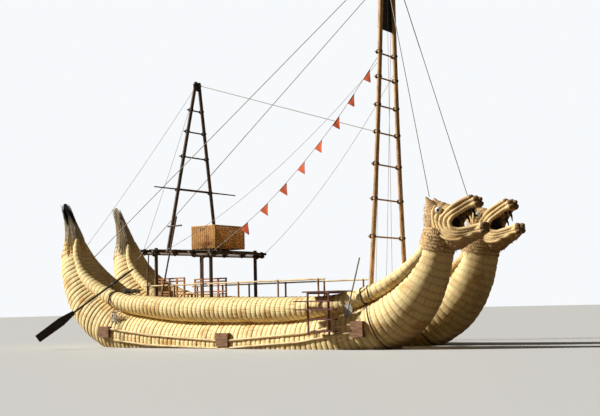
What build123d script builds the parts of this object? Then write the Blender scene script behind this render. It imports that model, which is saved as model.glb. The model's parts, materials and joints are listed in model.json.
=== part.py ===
"""Twin-hulled reed boat: crescent hulls with open-mouthed cat heads, a railed deck, a raised platform
with a basket, bipod main and mizzen masts, a boarding stair, a steering oar and a bow paddle.

Millimetres. +X to the bows, +Y to port, +Z up. The origin is on the waterline, midway between the
hulls and near mid-length.
"""
from build123d import *
from math import cos, radians, sqrt, tan
import os

# Hull spacing
HULL_SPACING = 2550.0          # between the two hulls' centre planes
HULL_Y = -HULL_SPACING / 2     # starboard hull's centre plane
SEAT = 0.3                     # gap between a round piece and what it rests on
FOOT_CUT = 600.0               # side of the block that squares off a leg's foot
OVERRUN = 12.0                 # how far a piece runs into the one that trims its end
SPAN_PARTS = 3                 # parts that each span of a bundle or roll is smoothed into

# Deck
DECK_OVER = 41.0               # deck's edge outboard of a hull's centre plane
DECK_HALF = HULL_SPACING / 2 + DECK_OVER
BEAM_R = 60.0
BEAM_Z = 1250.0                # centre height of the cross logs
BEAM_OVER = 14.0               # cross log's end beyond the deck's edge
BEAM_FIRST_X = -3900.0
BEAM_PITCH = 1000.0
BEAM_COUNT = 9
PLANK_T = 40.0
PLANK_GAP = 14.0
PLANK_COUNT = 9
PLANK_W = (2 * DECK_HALF + PLANK_GAP) / PLANK_COUNT - PLANK_GAP
DECK_AFT_X = -4300.0
DECK_FORE_X = 4250.0
DECK_LOW = BEAM_Z + BEAM_R + SEAT
DECK_TOP = DECK_LOW + PLANK_T

# Rails on both sides of the deck
RAIL_R = 26.0
RAIL_POST_R = 32.0
RAIL_H = 760.0                 # top of the rail over the deck
RAIL_INSET = 75.0              # post centre from the deck's edge
RAIL_OVER = 250.0              # rail's end beyond its last post
RAIL_POST_X = (-4200.0, -2960.0, -1720.0, -90.0, 1540.0, 3100.0)
RAIL_Y = DECK_HALF - RAIL_INSET
RAIL_TOP = DECK_TOP + RAIL_H

# Platform on four posts
POST_R = 60.0
POST_INSET = 166.0             # post centre from the deck's edge
POST_Y = DECK_HALF - POST_INSET
POST_AFT_X = -3900.0
POST_FORE_X = -1350.0
POST_HEAD = 210.0              # post top over the side log
PLATFORM_Z = 3020.0            # side log's centre at the fore end
PLATFORM_FORE_X = -1050.0
PLATFORM_AFT_X = -4450.0
PLATFORM_SLOPE = 3.5           # degrees, the aft end stands higher
SIDE_LOG_R = 50.0
SIDE_LOG_Y = POST_Y + POST_R + SIDE_LOG_R + SEAT
CROSS_LOG_R = 45.0
CROSS_LOG_HALF = POST_Y + 330.0
CROSS_LOG_STEPS = (90.0, 1000.0, 1830.0, 2700.0, 3300.0)   # aft of the fore end
SLAT_T = 26.0
SLAT_W = 150.0
SLAT_GAP = 45.0
SLAT_COUNT = 11
SLAT_SHORT = 100.0             # slat's end short of the side log's end
SLOPE_COS = cos(radians(PLATFORM_SLOPE))
CROSS_LOG_UP = (SIDE_LOG_R + CROSS_LOG_R + SEAT) / SLOPE_COS
SLAT_LOW_UP = CROSS_LOG_UP + (CROSS_LOG_R + SEAT) / SLOPE_COS
SLAT_TOP_UP = SLAT_LOW_UP + SLAT_T / SLOPE_COS

# Props and the leaning pole outside the platform
PROP_Y = RAIL_Y + RAIL_POST_R + 33.0
FORE_PROP_X = -1575.0
FORE_PROP_R = 30.0
AFT_PROP_FOOT_X = -4230.0
AFT_PROP_HEAD_X = -4110.0
AFT_PROP_R = 22.0
LEAN_R = 28.0
LEAN_FOOT_X = -3600.0
LEAN_HEAD_X = -2620.0
LEAN_HEAD_OUT = 140.0          # how far the pole's top leans outboard of its foot
LEAN_HEAD_Z = 4400.0
LEAN_BAR_Z = 4080.0
LEAN_BAR_HALF = 320.0

# Basket on the platform
BASKET_L = 1100.0
BASKET_W = 1560.0
BASKET_H = 800.0
BASKET_WALL = 35.0
BASKET_FORE = 330.0            # its front aft of the platform's fore end
BASKET_Y = -115.0
BASKET_GRIP_W = 210.0          # hand slots near the rim
BASKET_GRIP_H = 70.0
BASKET_GRIP_DOWN = 130.0       # slot's centre under the rim

# Benches on the deck
BENCH_SEAT_H = 440.0
BENCH_BACK_H = 1000.0
BENCH_DEPTH = 420.0
BENCH_BAR = 50.0               # thickness of its square bars
SEAT_T = 32.0
PORT_BENCH_X = (-4090.0, -2540.0)
PORT_BENCH_Y = 1000.0
MID_BENCH_X = (-4280.0, -2830.0)
MID_BENCH_Y = -880.0
BENCH_BAYS = 4

# Mizzen bipod
MIZZEN_R = 62.0
MIZZEN_X = -3230.0
MIZZEN_HEAD_X = -2920.0
MIZZEN_HEAD_Z = 9300.0
MIZZEN_HEAD_HALF = 75.0
MIZZEN_RUNG_Z = (6600.0, 7500.0, 8280.0)
YARD_Z = 5400.0
YARD_HALF = 2080.0
YARD_R = 38.0
YARD_ROOT_R = 26.6             # where a slender arm meets the stout middle
YARD_TIP_R = 20.0
YARD_STOUT_HALF = 820.0        # the yard is doubled by a second pole this far out

# Main bipod mast
MAST_R = 72.0
MAST_TIP_R = 58.0
MAST_X = 4830.0
MAST_HEAD_X = 5140.0
MAST_HEAD_Z = 11800.0
MAST_FOOT_IN = 265.0           # foot inboard of the hull's centre plane
MAST_FOOT_HALF = HULL_SPACING / 2 - MAST_FOOT_IN
MAST_HEAD_HALF = 310.0
MAST_BOW = 90.0                # how far each leg curves in from a straight line
MAST_STEP_Z = 1455.0
MAST_STEP_R = 90.0
MAST_STEP_HALF = HULL_SPACING / 2 - 25.0
MAST_RUNG_Z = (3300.0, 4440.0, 5500.0, 6480.0, 7320.0, 8190.0, 8960.0)
RUNG_R = 26.0
RUNG_OVER = 110.0              # rung's end beyond the leg's centre
BOARD_LOW_Z = 9720.0
BOARD_H = 1300.0
BOARD_T = 24.0

# Stays
STAY_R = 13.0
STAY_DOWN = 120.0              # under the mast's top
BACKSTAY_X = -7246.0
BACKSTAY_IN = 175.0            # end inboard of the hull's centre plane
BACKSTAY_Z = 3170.0
FORESTAY_X = 7050.0
FORESTAY_IN = 50.0
FORESTAY_Z = 4235.0
TRIATIC_DOWN = 100.0

# Flag line from the starboard mast leg to the platform, and its pennants
FLAG_R = 9.0
FLAG_ROUTE = (
    (4990, -449, 8812),
    (4240, -547, 7875),
    (3475, -648, 6950),
    (2640, -755, 6090),
    (1770, -869, 5265),
    (855, -988, 4490),
    (-120, -1115, 3795),
    (-1135, -1252, 3160),
)
PENNANT_AT = (450.0, 1330.0, 2170.0, 3100.0, 3990.0, 4910.0, 5850.0, 6810.0)   # along the line
PENNANT_ROOT = 380.0           # edge that lies along the line
PENNANT_DROP = 430.0           # upper corner to hanging corner
PENNANT_T = 4.0
PENNANT_GAP = 0.3

# Poles and pads along the hull sides
RUB_R = 36.0
RUB_BED = 10.0                 # how far a pole beds into the reed
RUB_UPPER = ((-5230, 650), (-3270, 430), (0, 240), (3010, 460), (4950, 735))    # x, z
RUB_LOWER = ((-4970, 260), (-3270, 100), (0, 10), (3010, 220), (4950, 505))
PAD_BOXES = ((-5670, -5160, 350, 730), (-230, 270, 70, 490), (4890, 5310, 360, 820))   # x, x, z, z
PAD_OUT = 20.0                 # pad's face beyond the poles

# Boarding stair outside the starboard roll
STAIR_POST_X = (3440.0, 4190.0)
STAIR_POST_OUT = 975.0         # posts outboard of the hull's centre plane
STAIR_BAR = 45.0
STAIR_LOW_Z = 430.0
STAIR_TOP_Z = 1705.0
STAIR_BOARD_T = 38.0
STAIR_TOP_X = (3240.0, 4500.0)
STAIR_STEPS = ((3090.0, 4400.0, 1430.0), (3080.0, 4500.0, 1190.0), (3700.0, 4500.0, 900.0),
               (3700.0, 4500.0, 560.0))       # x, x, z
STAIR_STEP_DEPTH = 250.0

# Steering oar
OAR_R = 35.0
OAR_OUT = 3150.0               # pivot to blade tip
OAR_IN = 900.0                 # pivot to grip
BLADE_L = 1500.0
BLADE_W = 300.0
BLADE_T = 30.0
BLADE_NECK = 250.0             # how far the loom runs on into the blade
TIP_SHARE = 0.9                # width of a blade's end as a share of its widest
BLADE_SHOULDER = 0.35          # share of the blade's length where it is widest
PIVOT_X = -5440.0
PIVOT_OUT = 530.0              # outboard of the hull's centre plane
PIVOT_Z = 2190.0
PIVOT = (PIVOT_X, HULL_Y - PIVOT_OUT, PIVOT_Z)
OAR_AIM = (-390.0, -730.0, -585.0)     # direction from the pivot to the blade
PIN_R = 25.0
PIN_DEEP = 380.0               # pin's foot under the pivot
PIN_HEAD_R = 37.0
PIN_HEAD_T = 22.0
ROPE_R = 10.0
PEG_FIT = 0.5                  # running clearance round a peg or pin

# Bow paddle
PADDLE_X = 4910.0
PADDLE_OUT = 830.0             # outboard of the hull's centre plane
PADDLE_Z = 1650.0
PADDLE_PIVOT = (PADDLE_X, HULL_Y - PADDLE_OUT, PADDLE_Z)
PADDLE_R = 24.0
PADDLE_UP = 1010.0             # pivot to the top of the shaft
PADDLE_DOWN = 800.0            # pivot to the blade's tip
PADDLE_LEAN = 17.0             # degrees, the top leans forward
PADDLE_BLADE_L = 480.0
PADDLE_BLADE_W = 330.0
PADDLE_BLADE_T = 22.0
PADDLE_SHOULDER = 190.0        # widest place above the tip
PADDLE_NECK = 120.0            # the blade narrows over this length
PEG_R = 9.0
PEG_DEEP = 320.0
PEG_HEAD_R = 18.0
PEG_HEAD_T = 12.0

# Main bundle: x, z, half height, half width
BUNDLE = (
    (-8590, 5290, 60, 60),
    (-8270, 4600, 185, 185),
    (-8050, 3940, 335, 335),
    (-8010, 3400, 470, 480),
    (-7800, 2900, 630, 640),
    (-7400, 2180, 790, 780),
    (-6760, 1380, 880, 850),
    (-5300, 560, 850, 870),
    (-3400, 290, 820, 880),
    (600, 130, 840, 880),
    (3900, 330, 820, 870),
    (5300, 640, 800, 850),
    (6340, 1240, 740, 780),
    (6930, 1990, 600, 620),
    (7240, 2680, 490, 490),
    (7380, 3250, 470, 440),
)

# Outer gunwale roll: x, distance outboard of the hull's centre plane, z, radius
OUTER_ROLL = (
    (-7730, 140, 3900, 80),
    (-7610, 260, 3480, 140),
    (-7310, 370, 2930, 175),
    (-6960, 450, 2540, 200),
    (-5950, 500, 1930, 250),
    (-5000, 500, 1580, 300),
    (-3400, 500, 1360, 365),
    (600, 500, 1200, 400),
    (2500, 500, 1190, 370),
    (4000, 500, 1300, 290),
    (5000, 500, 1490, 245),
    (6000, 480, 1880, 215),
    (6620, 420, 2310, 190),
    (7000, 300, 2760, 150),
    (7010, 190, 3080, 110),
)

# Inner gunwale roll: x, distance inboard of the hull's centre plane, z, radius
INNER_ROLL = (
    (-7720, 140, 3800, 80),
    (-7400, 360, 3090, 140),
    (-7000, 450, 2660, 160),
    (-6100, 540, 2010, 180),
    (-5000, 590, 1320, 200),
    (-4000, 600, 995, 210),
    (600, 600, 970, 230),
    (4250, 600, 1000, 205),
    (5200, 590, 1380, 190),
    (6400, 480, 2120, 170),
    (6980, 290, 2760, 130),
    (7010, 190, 3050, 100),
)

# Head: round skull
SKULL = ((7390, 3050, 430), (7420, 3450, 430), (7440, 3900, 425), (7445, 4330, 415))    # x, z, radius
BROW_BACK = (7170.0, 4215.0)   # the skull's top slopes down through these two points
BROW_FRONT = (7950.0, 3885.0)
EAR = (7205.0, 275.0, 4020.0, 4225.0)          # x, distance from the centre plane, low z, tip z
EAR_R = 100.0
EAR_TIP_R = 18.0
EYE = (7550.0, 365.0, 3830.0)  # x, distance from the centre plane, z
EYE_R = 95.0

# Head: each side's turn inboard and tilt up, in degrees, about the skull's middle
HEAD_TURN = {"starboard": (0.0, 0.0), "port": (12.0, 4.0)}
HEAD_PIVOT = (7440.0, HULL_Y, 3600.0)
NECK_OVER = {"starboard": 0.0, "port": 110.0}  # how much stouter the front of the neck is tied
NECK_FROM_X = 5000.0
NECK_FULL_X = 6900.0

# Head: jaws, x and z on the centre plane
CHEEK_HALF = 360.0             # half width as far forward as CHEEK_X
CHEEK_X = 7950.0
JAW_TAPER = 0.42               # half width lost per length forward of CHEEK_X
SNOUT_HALF = 110.0             # least half width, at the jaws' tips
JAWS = (
    (7450, 4010), (7950, 3900), (8240, 4020), (8400, 4080), (8520, 4070), (8560, 3950), (8480, 3860),
    (8200, 3710), (8030, 3570), (7970, 3430), (8060, 3290), (8300, 3250), (8600, 3330), (8780, 3340),
    (8800, 3240), (8700, 3120), (8500, 3020), (8250, 2900), (8000, 2790), (7700, 2700), (7450, 2900),
)

# Head: rolls of reed round the mouth, nested like lips, x and z from the upper tip to the lower
LIP_STEPS = 9
LIP_ROLLS = (
    (68, ((8560, 3925), (8420, 3850), (8200, 3735), (8040, 3610), (7970, 3480), (7990, 3350), (8090, 3250),
          (8300, 3225), (8560, 3310), (8740, 3330))),
    (56, ((8520, 4020), (8280, 3900), (8070, 3765), (7900, 3600), (7850, 3440), (7880, 3290), (7980, 3180),
          (8150, 3125), (8400, 3160), (8700, 3230))),
    (55, ((8440, 4095), (8240, 3995), (8020, 3850), (7830, 3710), (7735, 3560), (7740, 3400), (7800, 3260),
          (7920, 3130), (8060, 3055), (8260, 3060), (8600, 3130))),
    (45, ((7600, 3700), (7600, 3550), (7640, 3370), (7730, 3210), (7860, 3080), (8010, 2985), (8200, 2960))),
    (42, ((7490, 3700), (7495, 3510), (7540, 3340), (7630, 3180), (7760, 3040), (7930, 2930))),
)

# Head: fangs, x, distance from the centre plane, root z, tip x, tip z, root radius
FANGS = (
    (8400, 120, 3830, 8470, 3560, 38),
    (8140, 190, 3660, 8230, 3430, 38),
    (8330, 150, 3270, 8270, 3480, 30),
)
FANG_TIP_R = 4.0


def loft_along(stations, shape):
    """Solid through sections placed along a centre line, straight from each to the next.

    stations: rows whose first three values are x, y, z; shape(row) gives the flat section.
    """
    sections = []
    last = len(stations) - 1
    for i, row in enumerate(stations):
        before = Vector(*stations[max(i - 1, 0)][:3])
        after = Vector(*stations[min(i + 1, last)][:3])
        sections.append(Plane(origin=row[:3], x_dir=(0, 1, 0), z_dir=after - before) * shape(row))
    return loft(sections, ruled=True)


def finer(rows):
    """Rows with more between them, on a smooth line through those given; x, y and z come first."""
    gaps = [(Vector(*b[:3]) - Vector(*a[:3])).length for a, b in zip(rows, rows[1:])]
    rates = [[(q - p) / gap for p, q in zip(a, b)] for a, b, gap in zip(rows, rows[1:], gaps)]
    slopes = [rates[0]]
    for before, after, aft, fore in zip(rates, rates[1:], gaps, gaps[1:]):
        slopes.append([(p * fore + q * aft) / (aft + fore) for p, q in zip(before, after)])
    slopes.append(rates[-1])
    smooth = []
    for a, b, gap, leave, meet in zip(rows, rows[1:], gaps, slopes, slopes[1:]):
        for i in range(SPAN_PARTS):
            t = i / SPAN_PARTS
            from_a, from_b = 2 * t**3 - 3 * t**2 + 1, 3 * t**2 - 2 * t**3
            out_a, out_b = gap * (t**3 - 2 * t**2 + t), gap * (t**3 - t**2)
            smooth.append([from_a * p + from_b * q + out_a * u + out_b * v
                           for p, q, u, v in zip(a, b, leave, meet)])
    return smooth + [list(rows[-1])]


def rod(start, end, radius, end_radius=None):
    """Round bar between two points, tapered when a second radius is given."""
    start, end = Vector(*start), Vector(*end)
    along = end - start
    place = Plane(origin=start, z_dir=along)
    standing = (Align.CENTER, Align.CENTER, Align.MIN)
    if end_radius is None:
        return place * Cylinder(radius, along.length, align=standing)
    return place * Cone(radius, end_radius, along.length, align=standing)


def block(low, high):
    """Box between two corners."""
    size = [b - a for a, b in zip(low, high)]
    return Pos(*[(a + b) / 2 for a, b in zip(low, high)]) * Box(*size)


def mirrored(shape):
    """The same piece on the port side."""
    return mirror(shape, about=Plane.XZ)


def joined(pieces):
    """One shape from pieces that touch or overlap."""
    return pieces[0].fuse(*pieces[1:])


def main_bundle(neck_over):
    """Main bundle on the starboard side, one long crescent of reed with neck_over more at its neck."""
    rows = []
    for x, z, high, wide in BUNDLE:
        share = min(1.0, max(0.0, (x - NECK_FROM_X) / (NECK_FULL_X - NECK_FROM_X)))
        more = share * neck_over / 2
        rows.append((x + more, HULL_Y, z, high + more, wide + more))
    return loft_along(finer(rows), lambda row: Ellipse(row[4], row[3]))


def bundle_half(x, z):
    """Half width of the main bundle where x and z meet its side."""
    rows = finer([(x_at, HULL_Y, z_at, high, wide) for x_at, z_at, high, wide in BUNDLE])
    for aft, fore in zip(rows, rows[1:]):
        if aft[0] <= x <= fore[0]:
            share = (x - aft[0]) / (fore[0] - aft[0])
            _, _, centre, high, wide = [a + share * (b - a) for a, b in zip(aft, fore)]
            return wide * sqrt(1 - ((z - centre) / high) ** 2)
    raise ValueError(f"x {x} is off the bundle")


def gunwale_roll(table, side):
    """Thin roll along a hull; side is -1 outboard and +1 inboard of the starboard hull."""
    rows = [(x, HULL_Y + side * out, z, r) for x, out, z, r in table]
    return loft_along(finer(rows), lambda row: Circle(row[3]))


def rub_pole(points):
    """Pole lashed along the starboard hull's side, bedded a little into the reed."""
    rows = [(x, HULL_Y - bundle_half(x, z) - RUB_R + RUB_BED, z) for x, z in points]
    return loft_along(rows, lambda row: Circle(RUB_R))


def rub_pads():
    """Blocks on the hull's side that the poles run into."""
    pads = []
    for aft, fore, low, high in PAD_BOXES:
        half = bundle_half((aft + fore) / 2, (low + high) / 2)
        face = HULL_Y - half - 2 * RUB_R - PAD_OUT
        pads.append(block((aft, face, low), (fore, HULL_Y - half / 2, high)))
    return pads


def rub_set(bundle):
    """Both poles and the pads of one side, trimmed where they bed into the bundle."""
    poles = [(rub_pole(points) - bundle).solid() for points in (RUB_UPPER, RUB_LOWER)]
    pads = [(pad - bundle - poles[0] - poles[1]).solid() for pad in rub_pads()]
    return Compound(children=poles), Compound(children=pads)


def cross_logs():
    """Logs across both hulls that carry the deck."""
    half = DECK_HALF + BEAM_OVER
    places = [BEAM_FIRST_X + i * BEAM_PITCH for i in range(BEAM_COUNT)]
    return [rod((x, -half, BEAM_Z), (x, half, BEAM_Z), BEAM_R) for x in places]


def deck_planks():
    """Planks along the boat on the cross logs."""
    planks = []
    for i in range(PLANK_COUNT):
        y = -DECK_HALF + i * (PLANK_W + PLANK_GAP)
        planks.append(block((DECK_AFT_X, y, DECK_LOW), (DECK_FORE_X, y + PLANK_W, DECK_TOP)))
    return Compound(children=planks)


def rail_posts(side):
    """Posts along one side of the deck."""
    y = side * RAIL_Y
    top = RAIL_TOP - 2 * RAIL_R - SEAT
    return Compound(children=[rod((x, y, DECK_TOP), (x, y, top), RAIL_POST_R) for x in RAIL_POST_X])


def rail_bar(side):
    """Pole along the tops of the posts."""
    y, z = side * RAIL_Y, RAIL_TOP - RAIL_R
    return rod((RAIL_POST_X[0] - RAIL_OVER, y, z), (RAIL_POST_X[-1] + RAIL_OVER, y, z), RAIL_R)


def platform_z(x):
    """Height of the side logs' centres at x."""
    return PLATFORM_Z + (PLATFORM_FORE_X - x) * tan(radians(PLATFORM_SLOPE))


def platform_posts():
    """Four posts from the deck to above the platform's side logs."""
    posts = []
    for x in (POST_AFT_X, POST_FORE_X):
        for y in (-POST_Y, POST_Y):
            posts.append(rod((x, y, DECK_TOP), (x, y, platform_z(x) + POST_HEAD), POST_R))
    return Compound(children=posts)


def side_log(side):
    """Log along one side of the platform, lashed outboard of the posts."""
    y = side * SIDE_LOG_Y
    return rod((PLATFORM_AFT_X, y, platform_z(PLATFORM_AFT_X)), (PLATFORM_FORE_X, y, PLATFORM_Z), SIDE_LOG_R)


def platform_cross_logs():
    """Logs across the side logs."""
    logs = []
    for step in CROSS_LOG_STEPS:
        x = PLATFORM_FORE_X - step
        z = platform_z(x) + CROSS_LOG_UP
        logs.append(rod((x, -CROSS_LOG_HALF, z), (x, CROSS_LOG_HALF, z), CROSS_LOG_R))
    return Compound(children=logs)


def platform_slats():
    """Slats along the platform on its cross logs, between the posts and the mizzen's feet."""
    slats = []
    length = (PLATFORM_FORE_X - PLATFORM_AFT_X) / SLOPE_COS - 2 * SLAT_SHORT
    span = SLAT_COUNT * (SLAT_W + SLAT_GAP) - SLAT_GAP
    x = PLATFORM_AFT_X + SLAT_SHORT
    start = Pos(x, 0, platform_z(x) + SLAT_LOW_UP) * Rot(0, PLATFORM_SLOPE, 0)
    for i in range(SLAT_COUNT):
        y = -span / 2 + i * (SLAT_W + SLAT_GAP)
        slats.append(start * block((0, y, 0), (length, y + SLAT_W, SLAT_T)))
    return Compound(children=slats)


def tower_poles(log):
    """Two props under the starboard side log and a tall pole with a bar that leans beside it."""
    y = -PROP_Y
    fore = rod((FORE_PROP_X, y, DECK_TOP), (FORE_PROP_X, y, platform_z(FORE_PROP_X)), FORE_PROP_R)
    aft = rod((AFT_PROP_FOOT_X, y, DECK_TOP - OVERRUN), (AFT_PROP_HEAD_X, y, platform_z(AFT_PROP_HEAD_X)),
              AFT_PROP_R)
    foot = Vector(LEAN_FOOT_X, y, DECK_TOP - OVERRUN)
    head = Vector(LEAN_HEAD_X, y - LEAN_HEAD_OUT, LEAN_HEAD_Z)
    bar_at = foot + (head - foot) * ((LEAN_BAR_Z - foot.Z) / (head.Z - foot.Z))
    half = Vector(LEAN_BAR_HALF, 0, 0)
    lean = rod(foot, head, LEAN_R) + rod(bar_at - half, bar_at + half, LEAN_R)
    below = Pos(foot.X, foot.Y, DECK_TOP - FOOT_CUT / 2) * Box(FOOT_CUT, FOOT_CUT, FOOT_CUT)
    below_aft = Pos(AFT_PROP_FOOT_X - foot.X, 0, 0) * below
    return Compound(children=[(fore - log).solid(), (aft - log - below_aft).solid(), (lean - below).solid()])


def basket():
    """Open woven box with hand slots, standing at the platform's fore end."""
    front = PLATFORM_FORE_X - BASKET_FORE
    back = front - BASKET_L
    low = platform_z(back) + SLAT_TOP_UP + SEAT
    top = low + BASKET_H
    half = BASKET_W / 2
    box = block((back, BASKET_Y - half, low), (front, BASKET_Y + half, top))
    room = block((back + BASKET_WALL, BASKET_Y - half + BASKET_WALL, low + BASKET_WALL),
                 (front - BASKET_WALL, BASKET_Y + half - BASKET_WALL, top + BASKET_WALL))
    slot = Pos((back + front) / 2, BASKET_Y, top - BASKET_GRIP_DOWN) * Box(
        BASKET_GRIP_W, BASKET_W + BASKET_WALL, BASKET_GRIP_H)
    return box - room - slot


def bench(ends, y, side):
    """Bench with an open frame for its back; side says which way from y the seat lies."""
    aft, fore = ends
    seat_z = DECK_TOP + BENCH_SEAT_H
    top = DECK_TOP + BENCH_BACK_H
    front = y + side * BENCH_DEPTH
    y_low, y_high = min(y, front), max(y, front)
    bars = [block((aft, y_low, seat_z - SEAT_T), (fore, y_high, seat_z))]
    back_y = (y, y + side * BENCH_BAR)
    span = (fore - aft - BENCH_BAR) / BENCH_BAYS
    for i in range(BENCH_BAYS + 1):
        x = aft + i * span
        bars.append(block((x, min(back_y), DECK_TOP), (x + BENCH_BAR, max(back_y), top)))
    for low in (top - BENCH_BAR, top - 3 * BENCH_BAR, seat_z + BENCH_BAR):
        bars.append(block((aft, min(back_y), low), (fore, max(back_y), low + BENCH_BAR)))
    for x in (aft, fore - BENCH_BAR):
        leg_y = (front, front - side * BENCH_BAR)
        bars.append(block((x, min(leg_y), DECK_TOP), (x + BENCH_BAR, max(leg_y), seat_z)))
    return joined(bars)


def mizzen_foot():
    """Centre of the port mizzen foot on the platform's side log."""
    return Vector(MIZZEN_X, SIDE_LOG_Y, platform_z(MIZZEN_X) + SIDE_LOG_R / SLOPE_COS + SEAT)


def mizzen_head():
    """Top of the port mizzen leg."""
    return Vector(MIZZEN_HEAD_X, MIZZEN_HEAD_HALF, MIZZEN_HEAD_Z)


def mizzen_at(z):
    """Point on the port mizzen leg at height z."""
    foot, head = mizzen_foot(), mizzen_head()
    return foot + (head - foot) * ((z - foot.Z) / (head.Z - foot.Z))


def mizzen_leg():
    """Port leg, cut flat at its foot, standing on the side log."""
    foot, head = mizzen_foot(), mizzen_head()
    leg = rod(mizzen_at(foot.Z - 2 * MIZZEN_R), head, MIZZEN_R)
    tilt = MIZZEN_R * tan(radians(PLATFORM_SLOPE))
    return leg - Pos(foot.X, foot.Y, foot.Z + tilt - FOOT_CUT / 2) * Box(FOOT_CUT, FOOT_CUT, FOOT_CUT)


def mizzen_yard():
    """Slender yard lashed across the fore side of the mizzen's legs, stouter in its middle."""
    yard = mizzen_at(YARD_Z)
    x = yard.X + MIZZEN_R + YARD_R + SEAT
    middle = rod((x, -YARD_STOUT_HALF, YARD_Z), (x, YARD_STOUT_HALF, YARD_Z), YARD_R)
    arms = [rod((x, side * YARD_STOUT_HALF, YARD_Z), (x, side * YARD_HALF, YARD_Z), YARD_ROOT_R, YARD_TIP_R)
            for side in (-1, 1)]
    return joined([middle] + arms)


def rungs(points_at, heights, behind):
    """Round rungs lashed across a pair of legs; behind is how far aft of the legs' centres."""
    bars = []
    for z in heights:
        p = points_at(z)
        end = p.Y + RUNG_OVER
        bars.append(rod((p.X - behind, -end, z), (p.X - behind, end, z), RUNG_R))
    return Compound(children=bars)


def mast_foot():
    """Centre of the port mast foot on the mast step log."""
    return Vector(MAST_X, MAST_FOOT_HALF, MAST_STEP_Z + MAST_STEP_R + SEAT)


def mast_head():
    """Top of the port mast leg."""
    return Vector(MAST_HEAD_X, MAST_HEAD_HALF, MAST_HEAD_Z)


def mast_line():
    """Centre line of the port mast leg, curved in towards the other leg."""
    middle = (mast_foot() + mast_head()) / 2 - Vector(0, MAST_BOW, 0)
    return ThreePointArc(tuple(mast_foot()), tuple(middle), tuple(mast_head()))


def mast_at(z):
    """Point on the port mast leg at height z."""
    line = mast_line()
    low, high = 0.0, 1.0
    while high - low > 1e-9:
        mid = (low + high) / 2
        if (line @ mid).Z < z:
            low = mid
        else:
            high = mid
    return line @ low


def mast_step_log():
    """Log across both hulls that the main mast stands on."""
    return rod((MAST_X, -MAST_STEP_HALF, MAST_STEP_Z), (MAST_X, MAST_STEP_HALF, MAST_STEP_Z), MAST_STEP_R)


def mast_leg():
    """Port leg of the main mast, standing on its step log."""
    line = mast_line()
    leg = sweep(Plane(origin=line @ 0, z_dir=line % 0) * Circle(MAST_R), path=line)
    foot = mast_foot()
    return leg - Pos(foot.X, foot.Y, foot.Z - FOOT_CUT / 2) * Box(FOOT_CUT, FOOT_CUT, FOOT_CUT)


def head_board():
    """Dark board across the top of the main mast, behind its legs."""
    low, high = mast_at(BOARD_LOW_Z), mast_at(BOARD_LOW_Z + BOARD_H)
    face = Polyline((low.Y, 0), (high.Y, BOARD_H), (-high.Y, BOARD_H), (-low.Y, 0), close=True)
    slope = high - low
    aft_of_leg = (low.X - MAST_R - SEAT, 0, BOARD_LOW_Z)
    place = Plane(origin=aft_of_leg, x_dir=(0, -1, 0), z_dir=(-slope.Z, 0, slope.X))
    return extrude(place * make_face(face), BOARD_T)


def stays():
    """Main stays: name, start point on a mast, end point in what it is made fast to."""
    head = mast_head()
    mizzen = mizzen_head()
    top = head.Z - STAY_DOWN
    grip = MAST_R + STAY_R
    rows = []
    for name, side in (("starboard", -1), ("port", 1)):
        y = side * head.Y
        back_y = side * (HULL_SPACING / 2 - BACKSTAY_IN)
        fore_y = side * (HULL_SPACING / 2 - FORESTAY_IN)
        rows.append((f"backstay_{name}", (head.X - grip, y, top), (BACKSTAY_X, back_y, BACKSTAY_Z)))
        rows.append((f"forestay_{name}", (head.X + grip, y, top), (FORESTAY_X, fore_y, FORESTAY_Z)))
    rung = MAST_RUNG_Z[3]
    rung_x = mast_at(rung).X - MAST_R - RUNG_R
    rows.append(("triatic_stay", (mizzen.X, 0, mizzen.Z - TRIATIC_DOWN), (rung_x, 0, rung)))
    return rows


def flag_tube(radius):
    """Round tube along the flag line's sag."""
    path = Spline(*FLAG_ROUTE)
    return sweep(Plane(origin=path @ 0, z_dir=path % 0) * Circle(radius), path=path)


def flag_line(log):
    """Sagging flag line, made fast to the starboard mast leg and to a cross log."""
    return flag_tube(FLAG_R) - mirrored(mast_leg()) - log


def pennants():
    """Three-cornered pennants hanging from the flag line, as thin plates."""
    path, line = Spline(*FLAG_ROUTE), flag_tube(FLAG_R + PENNANT_GAP)
    plates = []
    for at in PENNANT_AT:
        upper = path.position_at(at, PositionMode.LENGTH)
        lower = path.position_at(at + PENNANT_ROOT, PositionMode.LENGTH)
        hanging = upper - Vector(0, 0, PENNANT_DROP)
        face = make_face(Polyline(upper, hanging, lower, close=True))
        plates.append(extrude(face, PENNANT_T / 2, both=True) - line)
    return Compound(children=[plate.solid() for plate in plates])


def jaw_half(x):
    """Half width of the jaws at x."""
    return max(SNOUT_HALF, CHEEK_HALF - JAW_TAPER * max(0.0, x - CHEEK_X))


def jaws():
    """Open jaws: the side outline across the head, narrowed towards the tips."""
    face = make_face(Polyline(*JAWS, close=True))
    side = Plane(origin=(0, HULL_Y, 0), x_dir=(1, 0, 0), z_dir=(0, -1, 0)) * face
    tip_x = CHEEK_X + (CHEEK_HALF - SNOUT_HALF) / JAW_TAPER
    far_x = max(x for x, z in JAWS)
    aft_x = min(x for x, z in JAWS)
    plan = Polyline((aft_x, CHEEK_HALF), (CHEEK_X, CHEEK_HALF), (tip_x, SNOUT_HALF), (far_x, SNOUT_HALF),
                    (far_x, -SNOUT_HALF), (tip_x, -SNOUT_HALF), (CHEEK_X, -CHEEK_HALF), (aft_x, -CHEEK_HALF),
                    close=True)
    low = min(z for x, z in JAWS)
    high = max(z for x, z in JAWS)
    narrowed = extrude(Plane(origin=(0, HULL_Y, low)) * make_face(plan), high - low)
    return extrude(side, CHEEK_HALF, both=True) & narrowed


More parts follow.
